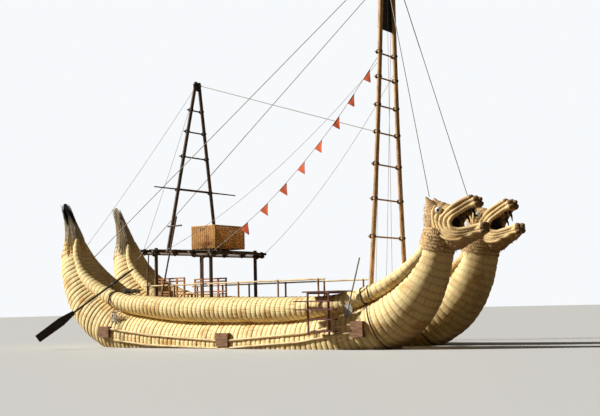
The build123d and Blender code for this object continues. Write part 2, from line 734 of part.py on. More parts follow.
def lip_roll(radius, points, side):
    """Roll of reed round one side of the mouth, with round ends."""
    line = Spline(*[(x, HULL_Y + side * jaw_half(x), z) for x, z in points])
    rows = [tuple(line @ (i / LIP_STEPS)) for i in range(LIP_STEPS + 1)]
    ends = [Pos(*rows[i]) * Sphere(radius) for i in (0, -1)]
    return joined([loft_along(rows, lambda row: Circle(radius))] + ends)


def skull():
    """Round skull with its top sloping down to the snout, two ears and two eyes."""
    rows = [(x, HULL_Y, z, r) for x, z, r in SKULL]
    ball = loft_along(rows, lambda row: Circle(row[3]))
    run = Vector(BROW_FRONT[0] - BROW_BACK[0], 0, BROW_FRONT[1] - BROW_BACK[1])
    above = Plane(origin=(BROW_BACK[0], HULL_Y, BROW_BACK[1]), x_dir=run, z_dir=(-run.Z, 0, run.X))
    reach = 2 * SKULL[0][2]
    cut = above * (Pos(reach / 2, 0, reach) * Box(4 * reach, 2 * reach, 2 * reach))
    pieces = [ball - cut]
    for side in (-1, 1):
        x, out, low, tip = EAR
        pieces.append(rod((x, HULL_Y + side * out, low), (x, HULL_Y + side * out, tip), EAR_R, EAR_TIP_R))
        x, out, z = EYE
        pieces.append(Pos(x, HULL_Y + side * out, z) * Sphere(EYE_R))
    return pieces


def head(turn, tilt):
    """Cat head on the starboard hull: skull, open jaws, lips nested round the mouth and fangs."""
    pieces = [joined(skull() + [jaws()])]
    for side in (-1, 1):
        pieces += [lip_roll(radius, points, side) for radius, points in LIP_ROLLS]
        for x, out, z, tip_x, tip_z, radius in FANGS:
            y = HULL_Y + side * out
            pieces.append(rod((x, y, z), (tip_x, y, tip_z), radius, FANG_TIP_R))
    level = Pos(*[-c for c in HEAD_PIVOT]) * joined(pieces)
    return Pos(*HEAD_PIVOT) * Rot(0, 0, turn) * Rot(0, -tilt, 0) * level


def boarding_stair():
    """Stair hung over the starboard roll: two posts, bearers, a top board and outboard steps."""
    post_y = HULL_Y - STAIR_POST_OUT
    half = STAIR_BAR / 2
    inner_y = -DECK_HALF
    bearer_z = STAIR_TOP_Z - STAIR_BOARD_T
    parts = []
    for x in STAIR_POST_X:
        parts.append(block((x - half, post_y - half, STAIR_LOW_Z), (x + half, post_y + half, bearer_z)))
        parts.append(block((x - half, post_y - half, bearer_z - STAIR_BAR),
                           (x + half, inner_y + STAIR_BAR, bearer_z)))
        parts.append(block((x - half, inner_y, DECK_TOP), (x + half, inner_y + STAIR_BAR, bearer_z)))
    aft, fore = STAIR_TOP_X
    parts.append(block((aft, post_y - half, bearer_z), (fore, inner_y - 4 * STAIR_BAR, STAIR_TOP_Z)))
    for aft, fore, z in STAIR_STEPS:
        parts.append(block((aft, post_y - STAIR_STEP_DEPTH, z - STAIR_BOARD_T), (fore, post_y + half, z)))
    return joined(parts)


AIM = Vector(*OAR_AIM).normalized()
LEVEL = Vector(-AIM.Y, AIM.X, 0).normalized()
RING_R = PIN_R + PEG_FIT + ROPE_R
COLLAR_R = OAR_R + SEAT + ROPE_R
OAR_OFFSET = RING_R + COLLAR_R + 2 * ROPE_R + PEG_FIT
OAR_CENTRE = Vector(*PIVOT) + LEVEL * OAR_OFFSET


def oar_frame():
    """Plane where the oar passes its pin: +Z points to the blade and +X is level."""
    return Plane(origin=OAR_CENTRE, x_dir=LEVEL, z_dir=AIM)


def steering_oar():
    """Oar loom with its long flat blade."""
    place = oar_frame()
    loom = place * (Pos(0, 0, -OAR_IN) * Cylinder(
        OAR_R, OAR_IN + OAR_OUT - BLADE_L + BLADE_NECK, align=(Align.CENTER, Align.CENTER, Align.MIN)))
    root, tip = OAR_OUT - BLADE_L, OAR_OUT
    shoulder = root + BLADE_L * BLADE_SHOULDER
    half = BLADE_W / 2
    outline = Polyline((-2 * OAR_R, root), (-half, shoulder),
                       (-TIP_SHARE * half, tip), (TIP_SHARE * half, tip),
                       (half, shoulder), (2 * OAR_R, root), close=True)
    flat = Plane(origin=(0, 0, 0), x_dir=(0, 1, 0), z_dir=(1, 0, 0))
    return loom + place * extrude(flat * make_face(outline), BLADE_T / 2, both=True)


def oar_collar():
    """Rope collar lashed round the loom beside the pin."""
    return oar_frame() * Torus(COLLAR_R, ROPE_R)


def oar_ring():
    """Rope ring round the pin that the collar hangs in."""
    return Pos(*PIVOT) * Torus(RING_R, ROPE_R)


def oar_pin():
    """Peg driven into the outer roll, with a head over the ring."""
    x, y, z = PIVOT
    high = z + 3 * ROPE_R
    shank = rod((x, y, z - PIN_DEEP), (x, y, high), PIN_R)
    return shank + rod((x, y, high), (x, y, high + PIN_HEAD_T), PIN_HEAD_R)


def bow_paddle():
    """Short paddle pegged to the outer roll, blade down."""
    lean = radians(PADDLE_LEAN)
    place = Plane(origin=PADDLE_PIVOT, x_dir=(-cos(lean), 0, sqrt(1 - cos(lean) ** 2)), z_dir=(0, 1, 0))
    up = Plane(origin=(0, 0, 0), x_dir=(1, 0, 0), z_dir=(0, 1, 0))
    low = -PADDLE_DOWN + PADDLE_SHOULDER
    foot = (Align.CENTER, Align.CENTER, Align.MIN)
    shaft = up * (Pos(0, 0, low) * Cylinder(PADDLE_R, PADDLE_UP - low, align=foot))
    top = -PADDLE_DOWN + PADDLE_BLADE_L
    half = PADDLE_BLADE_W / 2
    outline = Polyline((0, -PADDLE_DOWN), (half, low), (TIP_SHARE * half, top - PADDLE_NECK), (PADDLE_R, top),
                       (-PADDLE_R, top), (-TIP_SHARE * half, top - PADDLE_NECK), (-half, low), close=True)
    blade = extrude(make_face(outline), PADDLE_BLADE_T / 2, both=True)
    return place * (shaft + blade - Cylinder(PEG_R + PEG_FIT, 4 * PADDLE_R))


def paddle_peg():
    """Peg through the paddle's shaft into the outer roll."""
    x, y, z = PADDLE_PIVOT
    outer = y - PADDLE_R - PEG_FIT
    shank = rod((x, outer, z), (x, y + PEG_DEEP, z), PEG_R)
    return shank + rod((x, outer - PEG_HEAD_T, z), (x, outer, z), PEG_HEAD_R)


def write(name, shape):
    """Save one node, a single solid or several that don't touch."""
    solids = shape.solids()
    kept = solids[0] if len(solids) == 1 else Compound(children=list(solids))
    export_step(kept, f"parts/{name}.step")


def hull_pieces(side, logs, step_log):
    """Bundle, outer roll, inner roll and head of one side, as they would stand on the starboard side."""
    bundle = main_bundle(NECK_OVER[side])
    outer = gunwale_roll(OUTER_ROLL, -1) - bundle
    inner = gunwale_roll(INNER_ROLL, 1) - bundle - Compound(children=logs) - step_log
    bundle = bundle - step_log - logs[0] - logs[-1]
    return bundle, outer, inner, head(*HEAD_TURN[side]) - bundle - outer - inner


def build():
    """Make every node and save it."""
    os.makedirs("parts", exist_ok=True)
    logs = cross_logs()
    step_log = mast_step_log()
    hulls = {side: hull_pieces(side, logs, step_log) for side in ("starboard", "port")}
    outer = hulls["starboard"][1]
    for side, place in (("starboard", lambda shape: shape), ("port", mirrored)):
        write(f"hull_{side}", place(hulls[side][0]))
        write(f"inner_roll_{side}", place(hulls[side][2]))
        write(f"head_{side}", place(hulls[side][3]))
        poles, pads = rub_set(hulls[side][0])
        write(f"rub_poles_{side}", place(poles))
        write(f"rub_pads_{side}", place(pads))

    pin, peg = oar_pin(), paddle_peg()
    write("outer_roll_starboard", outer - pin - peg)
    write("outer_roll_port", mirrored(hulls["port"][1]))
    write("oar_pin", pin)
    write("paddle_peg", peg)
    write("boarding_stair", boarding_stair() - outer)
    write("steering_oar", steering_oar())
    write("oar_collar", oar_collar())
    write("oar_ring", oar_ring())
    write("bow_paddle", bow_paddle())

    write("cross_logs", Compound(children=logs))
    write("deck_planks", deck_planks())
    for name, side in (("starboard", -1), ("port", 1)):
        write(f"rail_posts_{name}", rail_posts(side))
        write(f"rail_bar_{name}", rail_bar(side))
        write(f"platform_side_log_{name}", side_log(side))
    write("platform_posts", platform_posts())
    platform_logs = platform_cross_logs()
    write("platform_cross_logs", platform_logs)
    write("flag_line", flag_line(platform_logs))
    write("pennants", pennants())
    write("platform_slats", platform_slats())
    write("tower_poles", tower_poles(side_log(-1)))
    write("basket", basket())
    write("bench_port", bench(PORT_BENCH_X, PORT_BENCH_Y, -1))
    write("bench_starboard", bench(MID_BENCH_X, MID_BENCH_Y, 1))

    mizzen, mast = mizzen_leg(), mast_leg()
    mizzen_bars = rungs(mizzen_at, MIZZEN_RUNG_Z, MIZZEN_R + RUNG_R + SEAT)
    mast_bars = rungs(mast_at, MAST_RUNG_Z, MAST_R + RUNG_R + SEAT)
    for name, leg in (("mizzen_leg", mizzen), ("mast_leg", mast)):
        write(f"{name}_port", leg)
        write(f"{name}_starboard", mirrored(leg))
    write("mizzen_rungs", mizzen_bars)
    write("mizzen_yard", mizzen_yard())
    write("mast_step_log", step_log)
    write("mast_rungs", mast_bars)
    write("mast_head_board", head_board())
    for name, start, end in stays():
        stay = rod(start, end, STAY_R)
        if name == "triatic_stay":
            trim = [mizzen, mirrored(mizzen), mast_bars]
        elif name.endswith("starboard"):
            trim = hulls["starboard"]
        else:
            trim = [mirrored(piece) for piece in hulls["port"]]
        for other in trim:
            stay = stay - other
        write(name, max(stay.solids(), key=lambda solid: solid.volume))


build()
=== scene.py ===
"""Looks for the twin-hulled reed boat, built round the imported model.

Metres. +X to the bows, +Y to port, +Z up. The origin is on the waterline, midway between the hulls.
The starboard side is built first and mirrored, apart from the heads, which are turned as in the solids.
"""
import json
import logging
import math
import random
from dataclasses import dataclass, field
from enum import Enum

import bpy
from mathutils import Matrix, Vector

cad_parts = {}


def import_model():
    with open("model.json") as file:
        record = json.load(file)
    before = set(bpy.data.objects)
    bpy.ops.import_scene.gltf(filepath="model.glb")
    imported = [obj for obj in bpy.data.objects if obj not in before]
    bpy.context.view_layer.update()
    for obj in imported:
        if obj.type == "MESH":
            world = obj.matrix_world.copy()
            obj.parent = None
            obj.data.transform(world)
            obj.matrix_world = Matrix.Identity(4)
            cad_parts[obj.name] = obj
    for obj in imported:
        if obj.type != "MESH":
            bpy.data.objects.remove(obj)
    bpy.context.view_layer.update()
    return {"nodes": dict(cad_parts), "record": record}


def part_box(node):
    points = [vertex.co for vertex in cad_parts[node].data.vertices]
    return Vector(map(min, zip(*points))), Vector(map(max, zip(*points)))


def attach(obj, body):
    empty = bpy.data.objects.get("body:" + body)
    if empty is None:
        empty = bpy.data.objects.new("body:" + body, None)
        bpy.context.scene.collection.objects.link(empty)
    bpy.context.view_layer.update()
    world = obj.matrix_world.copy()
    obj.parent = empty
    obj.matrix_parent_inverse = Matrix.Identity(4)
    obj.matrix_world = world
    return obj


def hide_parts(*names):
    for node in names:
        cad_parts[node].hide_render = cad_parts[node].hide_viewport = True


LOG = logging.getLogger("reed_boat")
SEED = 11
MM = 0.001
TAU = 2 * math.pi

HULL_Y = -1.275
BODY = "boat"

# Main bundle in mm: x, z, half height, half width
BUNDLE = (
    (-8590, 5290, 60, 60), (-8270, 4600, 185, 185), (-8050, 3940, 335, 335), (-8010, 3400, 470, 480),
    (-7800, 2900, 630, 640), (-7400, 2180, 790, 780), (-6760, 1380, 880, 850), (-5300, 560, 850, 870),
    (-3400, 290, 820, 880), (600, 130, 840, 880), (3900, 330, 820, 870), (5300, 640, 800, 850),
    (6340, 1240, 740, 780), (6930, 1990, 600, 620), (7240, 2680, 490, 490), (7380, 3250, 470, 440),
)
NECK_FROM_X = 5.0
NECK_FULL_X = 6.9

# Gunwale rolls in mm: x, distance from the hull's centre plane, z, radius
OUTER_ROLL = (
    (-7730, 140, 3900, 80), (-7610, 260, 3480, 140), (-7310, 370, 2930, 175), (-6960, 450, 2540, 200),
    (-5950, 500, 1930, 250), (-5000, 500, 1580, 300), (-3400, 500, 1360, 365), (600, 500, 1200, 400),
    (2500, 500, 1190, 370), (4000, 500, 1300, 290), (5000, 500, 1490, 245), (6000, 480, 1880, 215),
    (6620, 420, 2310, 190), (7000, 300, 2760, 150), (7010, 190, 3080, 110),
)
INNER_ROLL = (
    (-7720, 140, 3800, 80), (-7400, 360, 3090, 140), (-7000, 450, 2660, 160), (-6100, 540, 2010, 180),
    (-5000, 590, 1320, 200), (-4000, 600, 995, 210), (600, 600, 970, 230), (4250, 600, 1000, 205),
    (5200, 590, 1380, 190), (6400, 480, 2120, 170), (6980, 290, 2760, 130), (7010, 190, 3050, 100),
)

# Head in mm: rolls round the mouth as radius and x, z points, from the outermost in
LIP_ROLLS = (
    (52, ((7470, 3935), (7400, 3840), (7375, 3700), (7390, 3520), (7460, 3310), (7610, 3120), (7800, 3020),
          (8010, 2980), (8230, 3005))),
    (56, ((7500, 3690), (7485, 3520), (7540, 3340), (7680, 3170), (7860, 3080), (8040, 3050), (8260, 3070),
          (8500, 3120))),
    (62, ((8480, 4140), (8370, 4110), (8180, 4020), (7950, 3880), (7760, 3730), (7620, 3590), (7600, 3450),
          (7660, 3310), (7790, 3190), (7990, 3110), (8270, 3125), (8620, 3185), (8800, 3215))),
    (66, ((8610, 4085), (8410, 4020), (8180, 3885), (7950, 3725), (7760, 3560), (7740, 3390), (7845, 3255),
          (8000, 3185), (8220, 3195), (8520, 3250), (8790, 3300))),
    (68, ((8640, 3960), (8410, 3895), (8170, 3760), (7970, 3615), (7880, 3475), (7920, 3335), (8070, 3255),
          (8340, 3285), (8630, 3345), (8790, 3370))),
)
# Head in mm, level on the starboard neck: x, z, half height, half width
SKULL = (
    (6990, 3620, 330, 130), (7030, 3620, 480, 250), (7120, 3620, 550, 340), (7300, 3590, 540, 385),
    (7500, 3540, 510, 395), (7700, 3490, 490, 380), (7840, 3460, 460, 330),
)
UPPER_JAW = (
    (7700, 3820, 170, 330), (7970, 3840, 140, 300), (8170, 3920, 130, 210), (8410, 4010, 115, 135),
    (8600, 4025, 70, 85),
)
LOWER_JAW = (
    (7480, 3040, 200, 290), (7700, 2990, 260, 330), (7960, 2980, 250, 310), (8210, 3040, 180, 220),
    (8550, 3140, 150, 125), (8790, 3230, 100, 85),
)
SLEEVE = ((7240, 2730, 510, 512), (7300, 2960, 500, 490), (7360, 3200, 492, 474), (7385, 3360, 455, 440))
# Head in mm: fangs as x, distance from the centre plane, root z, tip x, tip z, root radius
FANGS = (
    (8370, 110, 3830, 8420, 3530, 38),
    (8130, 190, 3660, 8220, 3430, 36),
)
# Head in mm: an eye's x, distance from the centre plane and z
EYE = (7550, 365, 3830)

# Frame of the boat in metres, as its solids have it
RAIL_Z = 2.084
RAIL_Y = 1.241
RAIL_POST_X = (-4.20, -2.96, -1.72, -0.09, 1.54, 3.10)
POST_X = (-3.90, -1.35)
POST_Y = 1.150
SIDE_LOG_Y = 1.2603
PLATFORM_FORE_X = -1.05
PLATFORM_FORE_Z = 3.02
PLATFORM_SLOPE = math.radians(3.5)
CROSS_LOG_X = (-1.14, -2.05, -2.88, -3.75, -4.35)
MAST_FOOT = Vector((4.830, -1.010, 1.545))
MAST_HEAD = Vector((5.140, -0.310, 11.800))
MAST_BOW = 0.090
MAST_RUNG_Z = (3.30, 4.44, 5.50, 6.48, 7.32, 8.19, 8.96)
MIZZEN_FOOT = Vector((-3.230, -1.2603, 3.203))
MIZZEN_HEAD = Vector((-2.920, -0.075, 9.300))
MIZZEN_RUNG_Z = (6.60, 7.50, 8.28)
YARD_Z = 5.40
UP = Vector((0, 0, 1))

# Nodes with a finish other than their slot's
OWN_FINISH = {
    "rub_poles_starboard": "rub_wood", "rub_poles_port": "rub_wood",
    "rail_bar_starboard": "rub_wood", "rail_bar_port": "rub_wood",
    "rub_pads_starboard": "pad_wood", "rub_pads_port": "pad_wood",
    "bench_port": "bench_wood",
}

WHITE = (1.0, 1.0, 1.0)
# Tones that multiply the reed for its age, and for painted shade in the groove at each winding, each after
# its place on a ramp
AGE_TONES = ((0.30, (0.72, 0.56, 0.38)), (0.46, WHITE), (0.72, (1.05, 1.02, 0.95)))
GROOVE_SHADE_TONES = ((0.0, WHITE), (0.72, (0.98, 0.95, 0.87)), (0.88, (0.70, 0.53, 0.31)), (0.92, (0.50, 0.33, 0.16)))

# How weathered a reed is under its grey level, over it, under its black level and over that
WEATHER_STEPS = (0.0, 0.56, 0.68, 0.95)
WEATHER_FADE = 0.12
# Parts that each stretch of a smooth line is cut into before it is read evenly
FINE_PARTS = 24
SMALLEST = 1e-9

Row = tuple[float, ...]
Colour = tuple[float, float, float]
Socket = bpy.types.NodeSocket


class Side(Enum):
    """Side of the boat.

    Its sign in Y, its head's turn and tilt in degrees, its neck's extra size in mm and the heights in
    metres from which its tail is grey and black.
    """

    STARBOARD = (-1, 0.0, 0.0, 0.0, (3.85, 4.62))
    PORT = (1, 12.0, 4.0, 110.0, (3.35, 6.20))

    @property
    def sign(self) -> int:
        """Sign of Y on this side."""
        return self.value[0]

    @property
    def turn(self) -> float:
        """Turn of its head towards the other hull, in radians."""
        return math.radians(self.value[1])

    @property
    def tilt(self) -> float:
        """Tilt of its head upwards, in radians."""
        return math.radians(self.value[2])

    @property
    def stouter(self) -> float:
        """What each half size of its neck has over the starboard neck's, in mm."""
        return self.value[3] / 2

    @property
    def weather_levels(self) -> tuple[float, float]:
        """Heights from which its tail is grey and black."""
        return self.value[4]

    @property
    def label(self) -> str:
        """Lower-case name used in piece names."""
        return self.name.lower()

    def place(self, point: Vector) -> Vector:
        """A point given for the starboard side, on this side."""
        return Vector((point.x, -self.sign * point.y, point.z))


def half_name(half: int) -> str:
    """Name of a half of a head: in is 1, towards the middle line, and out is -1."""
    return "in" if half > 0 else "out"


def deselect() -> None:
    """Deselect everything, so that an operator acts on nothing left over."""
    if bpy.context.mode != "OBJECT":
        bpy.ops.object.mode_set(mode="OBJECT")
    bpy.ops.object.select_all(action="DESELECT")


def finished(obj: bpy.types.Object, name: str, body: str) -> bpy.types.Object:
    """Name a finished piece, bring its place into its mesh and make it ride.

    Args:
        obj: the piece.
        name: its name.
        body: the body that it rides on.

    Returns:
        The same piece.
    """
    obj.name = name
    obj.data.name = name
    bpy.context.view_layer.update()
    obj.data.transform(obj.matrix_world)
    obj.matrix_world = Matrix.Identity(4)
    LOG.info("%s rides on %s", name, body)
    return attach(obj, body)


def linked(name: str, mesh: bpy.types.Mesh) -> bpy.types.Object:
    """Put a mesh in the scene, as the one selected object.

    Args:
        name: the object's name.
        mesh: its mesh.

    Returns:
        The object.
    """
    obj = bpy.data.objects.new(name, mesh)
    bpy.context.collection.objects.link(obj)
    deselect()
    obj.select_set(True)
    bpy.context.view_layer.objects.active = obj
    return obj


def face_outwards() -> None:
    """Turn every face of the selected object outwards."""
    bpy.ops.object.mode_set(mode="EDIT")
    bpy.ops.mesh.select_all(action="SELECT")
    bpy.ops.mesh.normals_make_consistent(inside=False)
    bpy.ops.object.mode_set(mode="OBJECT")


def keep_on_points(mesh: bpy.types.Mesh, name: str, values: list[float]) -> None:
    """Keep a number at each point of a mesh, for its finish to read."""
    layer = mesh.attributes.new(name, "FLOAT", "POINT")
    layer.data.foreach_set("value", values)


def run_along(rows: list[Row] | list[Vector]) -> list[float]:
    """Distance along a line at each of its rows.

    Args:
        rows: points, or rows whose first three values are their place.

    Returns:
        The distances, from 0 at the first row.
    """
    run = [0.0]
    for before, after in zip(rows, rows[1:]):
        run.append(run[-1] + (Vector(after[:3]) - Vector(before[:3])).length)
    return run


def read_at(rows: list[Row], run: list[float], want: float, at: int) -> tuple[int, Row]:
    """Values at a distance along a line.

    Args:
        rows: rows along the line.
        run: the distance at each row.
        want: the distance to read at.
        at: number of a row that isn't past that distance.

    Returns:
        The number of the row before that distance, and the values there.
    """
    while at < len(run) - 2 and run[at + 1] < want:
        at += 1
    t = (want - run[at]) / max(SMALLEST, run[at + 1] - run[at])
    return at, tuple(a + t * (b - a) for a, b in zip(rows[at], rows[at + 1]))


def slopes_along(rows: list[Row], gaps: list[float]) -> list[list[float]]:
    """Slope of every value at each row, where the nearer neighbour counts for more.

    Args:
        rows: values at each station.
        gaps: distance from each row to the next.

    Returns:
        One list of slopes for each row.
    """
    rises = [[(b - a) / gap for a, b in zip(row, after)] for row, after, gap in zip(rows, rows[1:], gaps)]
    middle = [[(rise * before + fall * after) / (before + after) for fall, rise in zip(low, high)]
              for low, high, before, after in zip(rises, rises[1:], gaps, gaps[1:])]
    return [rises[0]] + middle + [rises[-1]]


def smooth_rows(rows: list[Row], step: float) -> list[Row]:
    """Rows read at an even distance along a smooth line through the given rows.

    Args:
        rows: values at each station, of which the first three are the place.
        step: distance between the rows returned.

    Returns:
        Rows of the same values, evenly spaced by their place.
    """
    gaps = [(Vector(b[:3]) - Vector(a[:3])).length for a, b in zip(rows, rows[1:])]
    slopes = slopes_along(rows, gaps)
    fine = []
    for i, gap in enumerate(gaps):
        for j in range(FINE_PARTS):
            t = j / FINE_PARTS
            from_row, from_slope = 2 * t**3 - 3 * t**2 + 1, t**3 - 2 * t**2 + t
            to_row, to_slope = -2 * t**3 + 3 * t**2, t**3 - t**2
            ends = zip(rows[i], slopes[i], rows[i + 1], slopes[i + 1])
            fine.append(tuple(from_row * a + from_slope * gap * leave + to_row * b + to_slope * gap * arrive
                              for a, leave, b, arrive in ends))
    fine.append(tuple(rows[-1]))
    run = run_along(fine)
    count = max(2, round(run[-1] / step))
    even, at = [], 0
    for n in range(count + 1):
        at, row = read_at(fine, run, run[-1] * n / count, at)
        even.append(row)
    return even


def weathered(z: float, levels: tuple[float, float]) -> float:
    """How weathered a reed is at a height: over 0.5 is grey, over 0.8 is black.

    Args:
        z: the height in metres.
        levels: the heights from which it is grey and black.

    Returns:
        A figure from 0 to 1.
    """
    heights = [level + fade for level in levels for fade in (-WEATHER_FADE, WEATHER_FADE)]
    marks = list(zip(heights, WEATHER_STEPS))
    for (low, a), (high, b) in zip(marks, marks[1:]):
        if z < high:
            return a + (b - a) * max(0.0, (z - low) / (high - low))
    return WEATHER_STEPS[-1]


def tube_mesh(name: str, rings: list[list[Vector]], along: list[float], around: list[float],
              weather: list[list[float]]) -> bpy.types.Object:
    """Closed tube through rings of points, with the numbers that its finish reads.

    Args:
        name: the object's name.
        rings: equal rings of points, going round the same way.
        along: distance along the tube at each ring.
        around: distance round the tube at each point of a ring.
        weather: how weathered each point of each ring is, from 0 to 1; on lip ends, painted shade.

    Returns:
        The object, linked to the scene.
    """
    count = len(rings[0])
    faces = []
    for i in range(len(rings) - 1):
        for j in range(count):
            k = (j + 1) % count
            faces.append((i * count + j, i * count + k, (i + 1) * count + k, (i + 1) * count + j))
    faces.append(tuple(range(count - 1, -1, -1)))
    faces.append(tuple((len(rings) - 1) * count + j for j in range(count)))
    mesh = bpy.data.meshes.new(name)
    mesh.from_pydata([point for ring in rings for point in ring], [], faces)
    keep_on_points(mesh, "along", [distance for distance in along for _ in range(count)])
    keep_on_points(mesh, "around", around * len(rings))
    keep_on_points(mesh, "weather", [value for ring in weather for value in ring])
    for face in mesh.polygons:
        face.use_smooth = True
    mesh.update()
    obj = linked(name, mesh)
    face_outwards()
    return obj


@dataclass
class Strands:
    """Many thin tubes gathered into one piece."""

    points: list[Vector] = field(default_factory=list)
    faces: list[tuple[int, ...]] = field(default_factory=list)
    wrap_points: int = 14
    wrap_gap: float = 2.1

    def tube(self, path: list[Vector], radius: float | list[float], sides: int = 6,
             closed: bool = False) -> None:
        """Add a round tube.

        Args:
            path: points along its centre line.
            radius: its radius, or one for each point.
            sides: sides of its section.
            closed: whether its end joins its start.
        """
        count, base, normal = len(path), len(self.points), None
        radii = radius if isinstance(radius, list) else [radius] * count
        for i, spot in enumerate(path):
            before = path[i - 1] if closed or i else path[0]
            after = path[(i + 1) % count] if closed or i < count - 1 else path[-1]
            tangent = (after - before).normalized()
            normal = tangent.orthogonal() if normal is None else normal
            normal = (normal - tangent * normal.dot(tangent)).normalized()
            side = tangent.cross(normal)
            for j in range(sides):
                angle = TAU * j / sides
                self.points.append(spot + (normal * math.cos(angle) + side * math.sin(angle)) * radii[i])
        for i in range(count if closed else count - 1):
            here, there = base + i * sides, base + (i + 1) % count * sides
            for j in range(sides):
                k = (j + 1) % sides
                self.faces.append((here + j, here + k, there + k, there + j))
        if not closed:
            last = base + (count - 1) * sides
            self.faces.append(tuple(range(base + sides - 1, base - 1, -1)))
            self.faces.append(tuple(range(last, last + sides)))

    def wrap(self, centre: Vector, along: Vector, across: Vector, reach: tuple[float, float], turns: int,
             rope: float) -> None:
        """Add turns of rope round a joint of two poles.

        Args:
            centre: middle of the lashing.
            along: direction in which the turns follow one another.
            across: direction, square to along, of the turns' longer half.
            reach: half sizes of a turn, across and square to it.
            turns: number of turns.
            rope: radius of the rope.
        """
        along = along.normalized()
        across = (across - along * across.dot(along)).normalized()
        third = along.cross(across)
        path = []
        for i in range(turns * self.wrap_points + 1):
            angle = TAU * i / self.wrap_points
            shift = (i / self.wrap_points - turns / 2) * rope * self.wrap_gap
            round_it = across * reach[0] * math.cos(angle)
            path.append(centre + along * shift + round_it + third * reach[1] * math.sin(angle))
        self.tube(path, rope, 6)

    def cross_wrap(self, centre: Vector, first: Vector, second: Vector, reach: tuple[float, float],
                   rope: float = 0.009, turns: int = 4) -> None:
        """Add two sets of turns that cross each other where one pole crosses another.

        Args:
            centre: middle of the lashing.
            first: direction of one pole.
            second: direction of the other.
            reach: half sizes of a turn, through both poles and square to that.
            rope: radius of the rope.
            turns: number of turns in each set.
        """
        deep = first.cross(second)
        self.wrap(centre, (first + second), deep, reach, turns, rope)
        self.wrap(centre, (first - second), deep, reach, turns, rope)

    def piece(self, name: str, body: str, slot: str) -> bpy.types.Object:
        """Make the gathered tubes into one piece.

        Args:
            name: its name.
            body: the body that it rides on.
            slot: the record's material slot; not used.

        Returns:
            The piece, with no material yet.
        """
        mesh = bpy.data.meshes.new(name)
        mesh.from_pydata(self.points, [], self.faces)
        for face in mesh.polygons:
            face.use_smooth = len(face.vertices) == 4
        mesh.update()
        return finished(linked(name, mesh), name, body)


class Nodes:
    """Short way to lay out a material's nodes."""

    def __init__(self, name: str) -> None:
        """Start a material with one principled shader.

        Args:
            name: the material's name.
        """
        self.material = bpy.data.materials.new(name)
        self.material.use_nodes = True
        self.tree = self.material.node_tree
        self.shader = self.tree.nodes["Principled BSDF"]

    def add(self, kind: str, inputs: dict[str | int, object] | None = None,
            **settings: object) -> bpy.types.Node:
        """Add a node.

        Args:
            kind: the node's type name without its ShaderNode prefix.
            inputs: a value or an output socket for each named input.
            settings: properties of the node.

        Returns:
            The node.
        """
        node = self.tree.nodes.new("ShaderNode" + kind)
        for key, value in settings.items():
            setattr(node, key, value)
        for key, value in (inputs or {}).items():
            self.join(node.inputs[key], value)
        return node

    def join(self, socket: Socket, value: object) -> None:
        """Set an input socket to a value, or link it to an output.

        Args:
            socket: the input.
            value: a value, or the output socket to link.
        """
        if isinstance(value, Socket):
            self.tree.links.new(value, socket)
        else:
            socket.default_value = value

    def span(self, value: Socket, low: float, high: float, top: float = 1.0) -> Socket:
        """A value spread from 0, at low and under it, to top, at high and over it."""
        return self.add("MapRange", {0: value, 1: low, 2: high, 4: top}).outputs[0]

    def ramp(self, factor: Socket, stops: tuple[tuple[float, Colour], ...]) -> Socket:
        """Colour ramp.

        Args:
            factor: what the ramp reads.
            stops: the place and the colour of each stop.

        Returns:
            The colour.
        """
        node = self.add("ValToRGB", {0: factor})
        elements = node.color_ramp.elements
        while len(elements) < len(stops):
            elements.new(0.5)
        for element, (place, colour) in zip(elements, stops):
            element.position = place
            element.color = (*colour[:3], 1.0)
        return node.outputs["Color"]

    def maths(self, operation: str, a: object, b: object = 0.0) -> Socket:
        """Result of one arithmetic step."""
        return self.add("Math", {0: a, 1: b}, operation=operation).outputs[0]

    def mix(self, factor: object, a: object, b: object, blend: str = "MIX") -> Socket:
        """Mix of two colours.

        Args:
            factor: how much of the second colour there is, as a number or an output socket.
            a: the first colour, or an output socket.
            b: the second colour, or an output socket.
            blend: how they are mixed.

        Returns:
            The mixed colour.
        """
        node = self.add("Mix", data_type="RGBA", blend_type=blend)
        self.join(node.inputs[0], factor)
        self.join(node.inputs[6], a if isinstance(a, Socket) else (*a, 1.0))
        self.join(node.inputs[7], b if isinstance(b, Socket) else (*b, 1.0))
        return node.outputs[2]

    def object_noise(self, scale: tuple[float, float, float], detail: float = 4.0) -> Socket:
        """Noise on Object coordinates.

        Args:
            scale: its scale on each axis.
            detail: how fine it is.

        Returns:
            The noise, from 0 to 1.
        """
        coords = self.add("TexCoord").outputs["Object"]
        mapped = self.add("Mapping", {"Vector": coords, "Scale": scale}).outputs[0]
        return self.add("TexNoise", {"Vector": mapped, "Scale": 1.0, "Detail": detail}).outputs["Fac"]

    def attribute(self, name: str) -> Socket:
        """A number kept on the mesh."""
        return self.add("Attribute", attribute_name=name).outputs["Fac"]

    def bump(self, height: Socket, strength: float, distance: float) -> None:
        """Bump the shader's surface by a height."""
        node = self.add("Bump", {"Strength": strength, "Distance": distance, "Height": height})
        self.tree.links.new(node.outputs["Normal"], self.shader.inputs["Normal"])

    def surface(self, colour: Socket, roughness: object) -> None:
        """Give the shader its colour and its roughness."""
        self.join(self.shader.inputs["Base Color"], colour)
        self.join(self.shader.inputs["Roughness"], roughness)


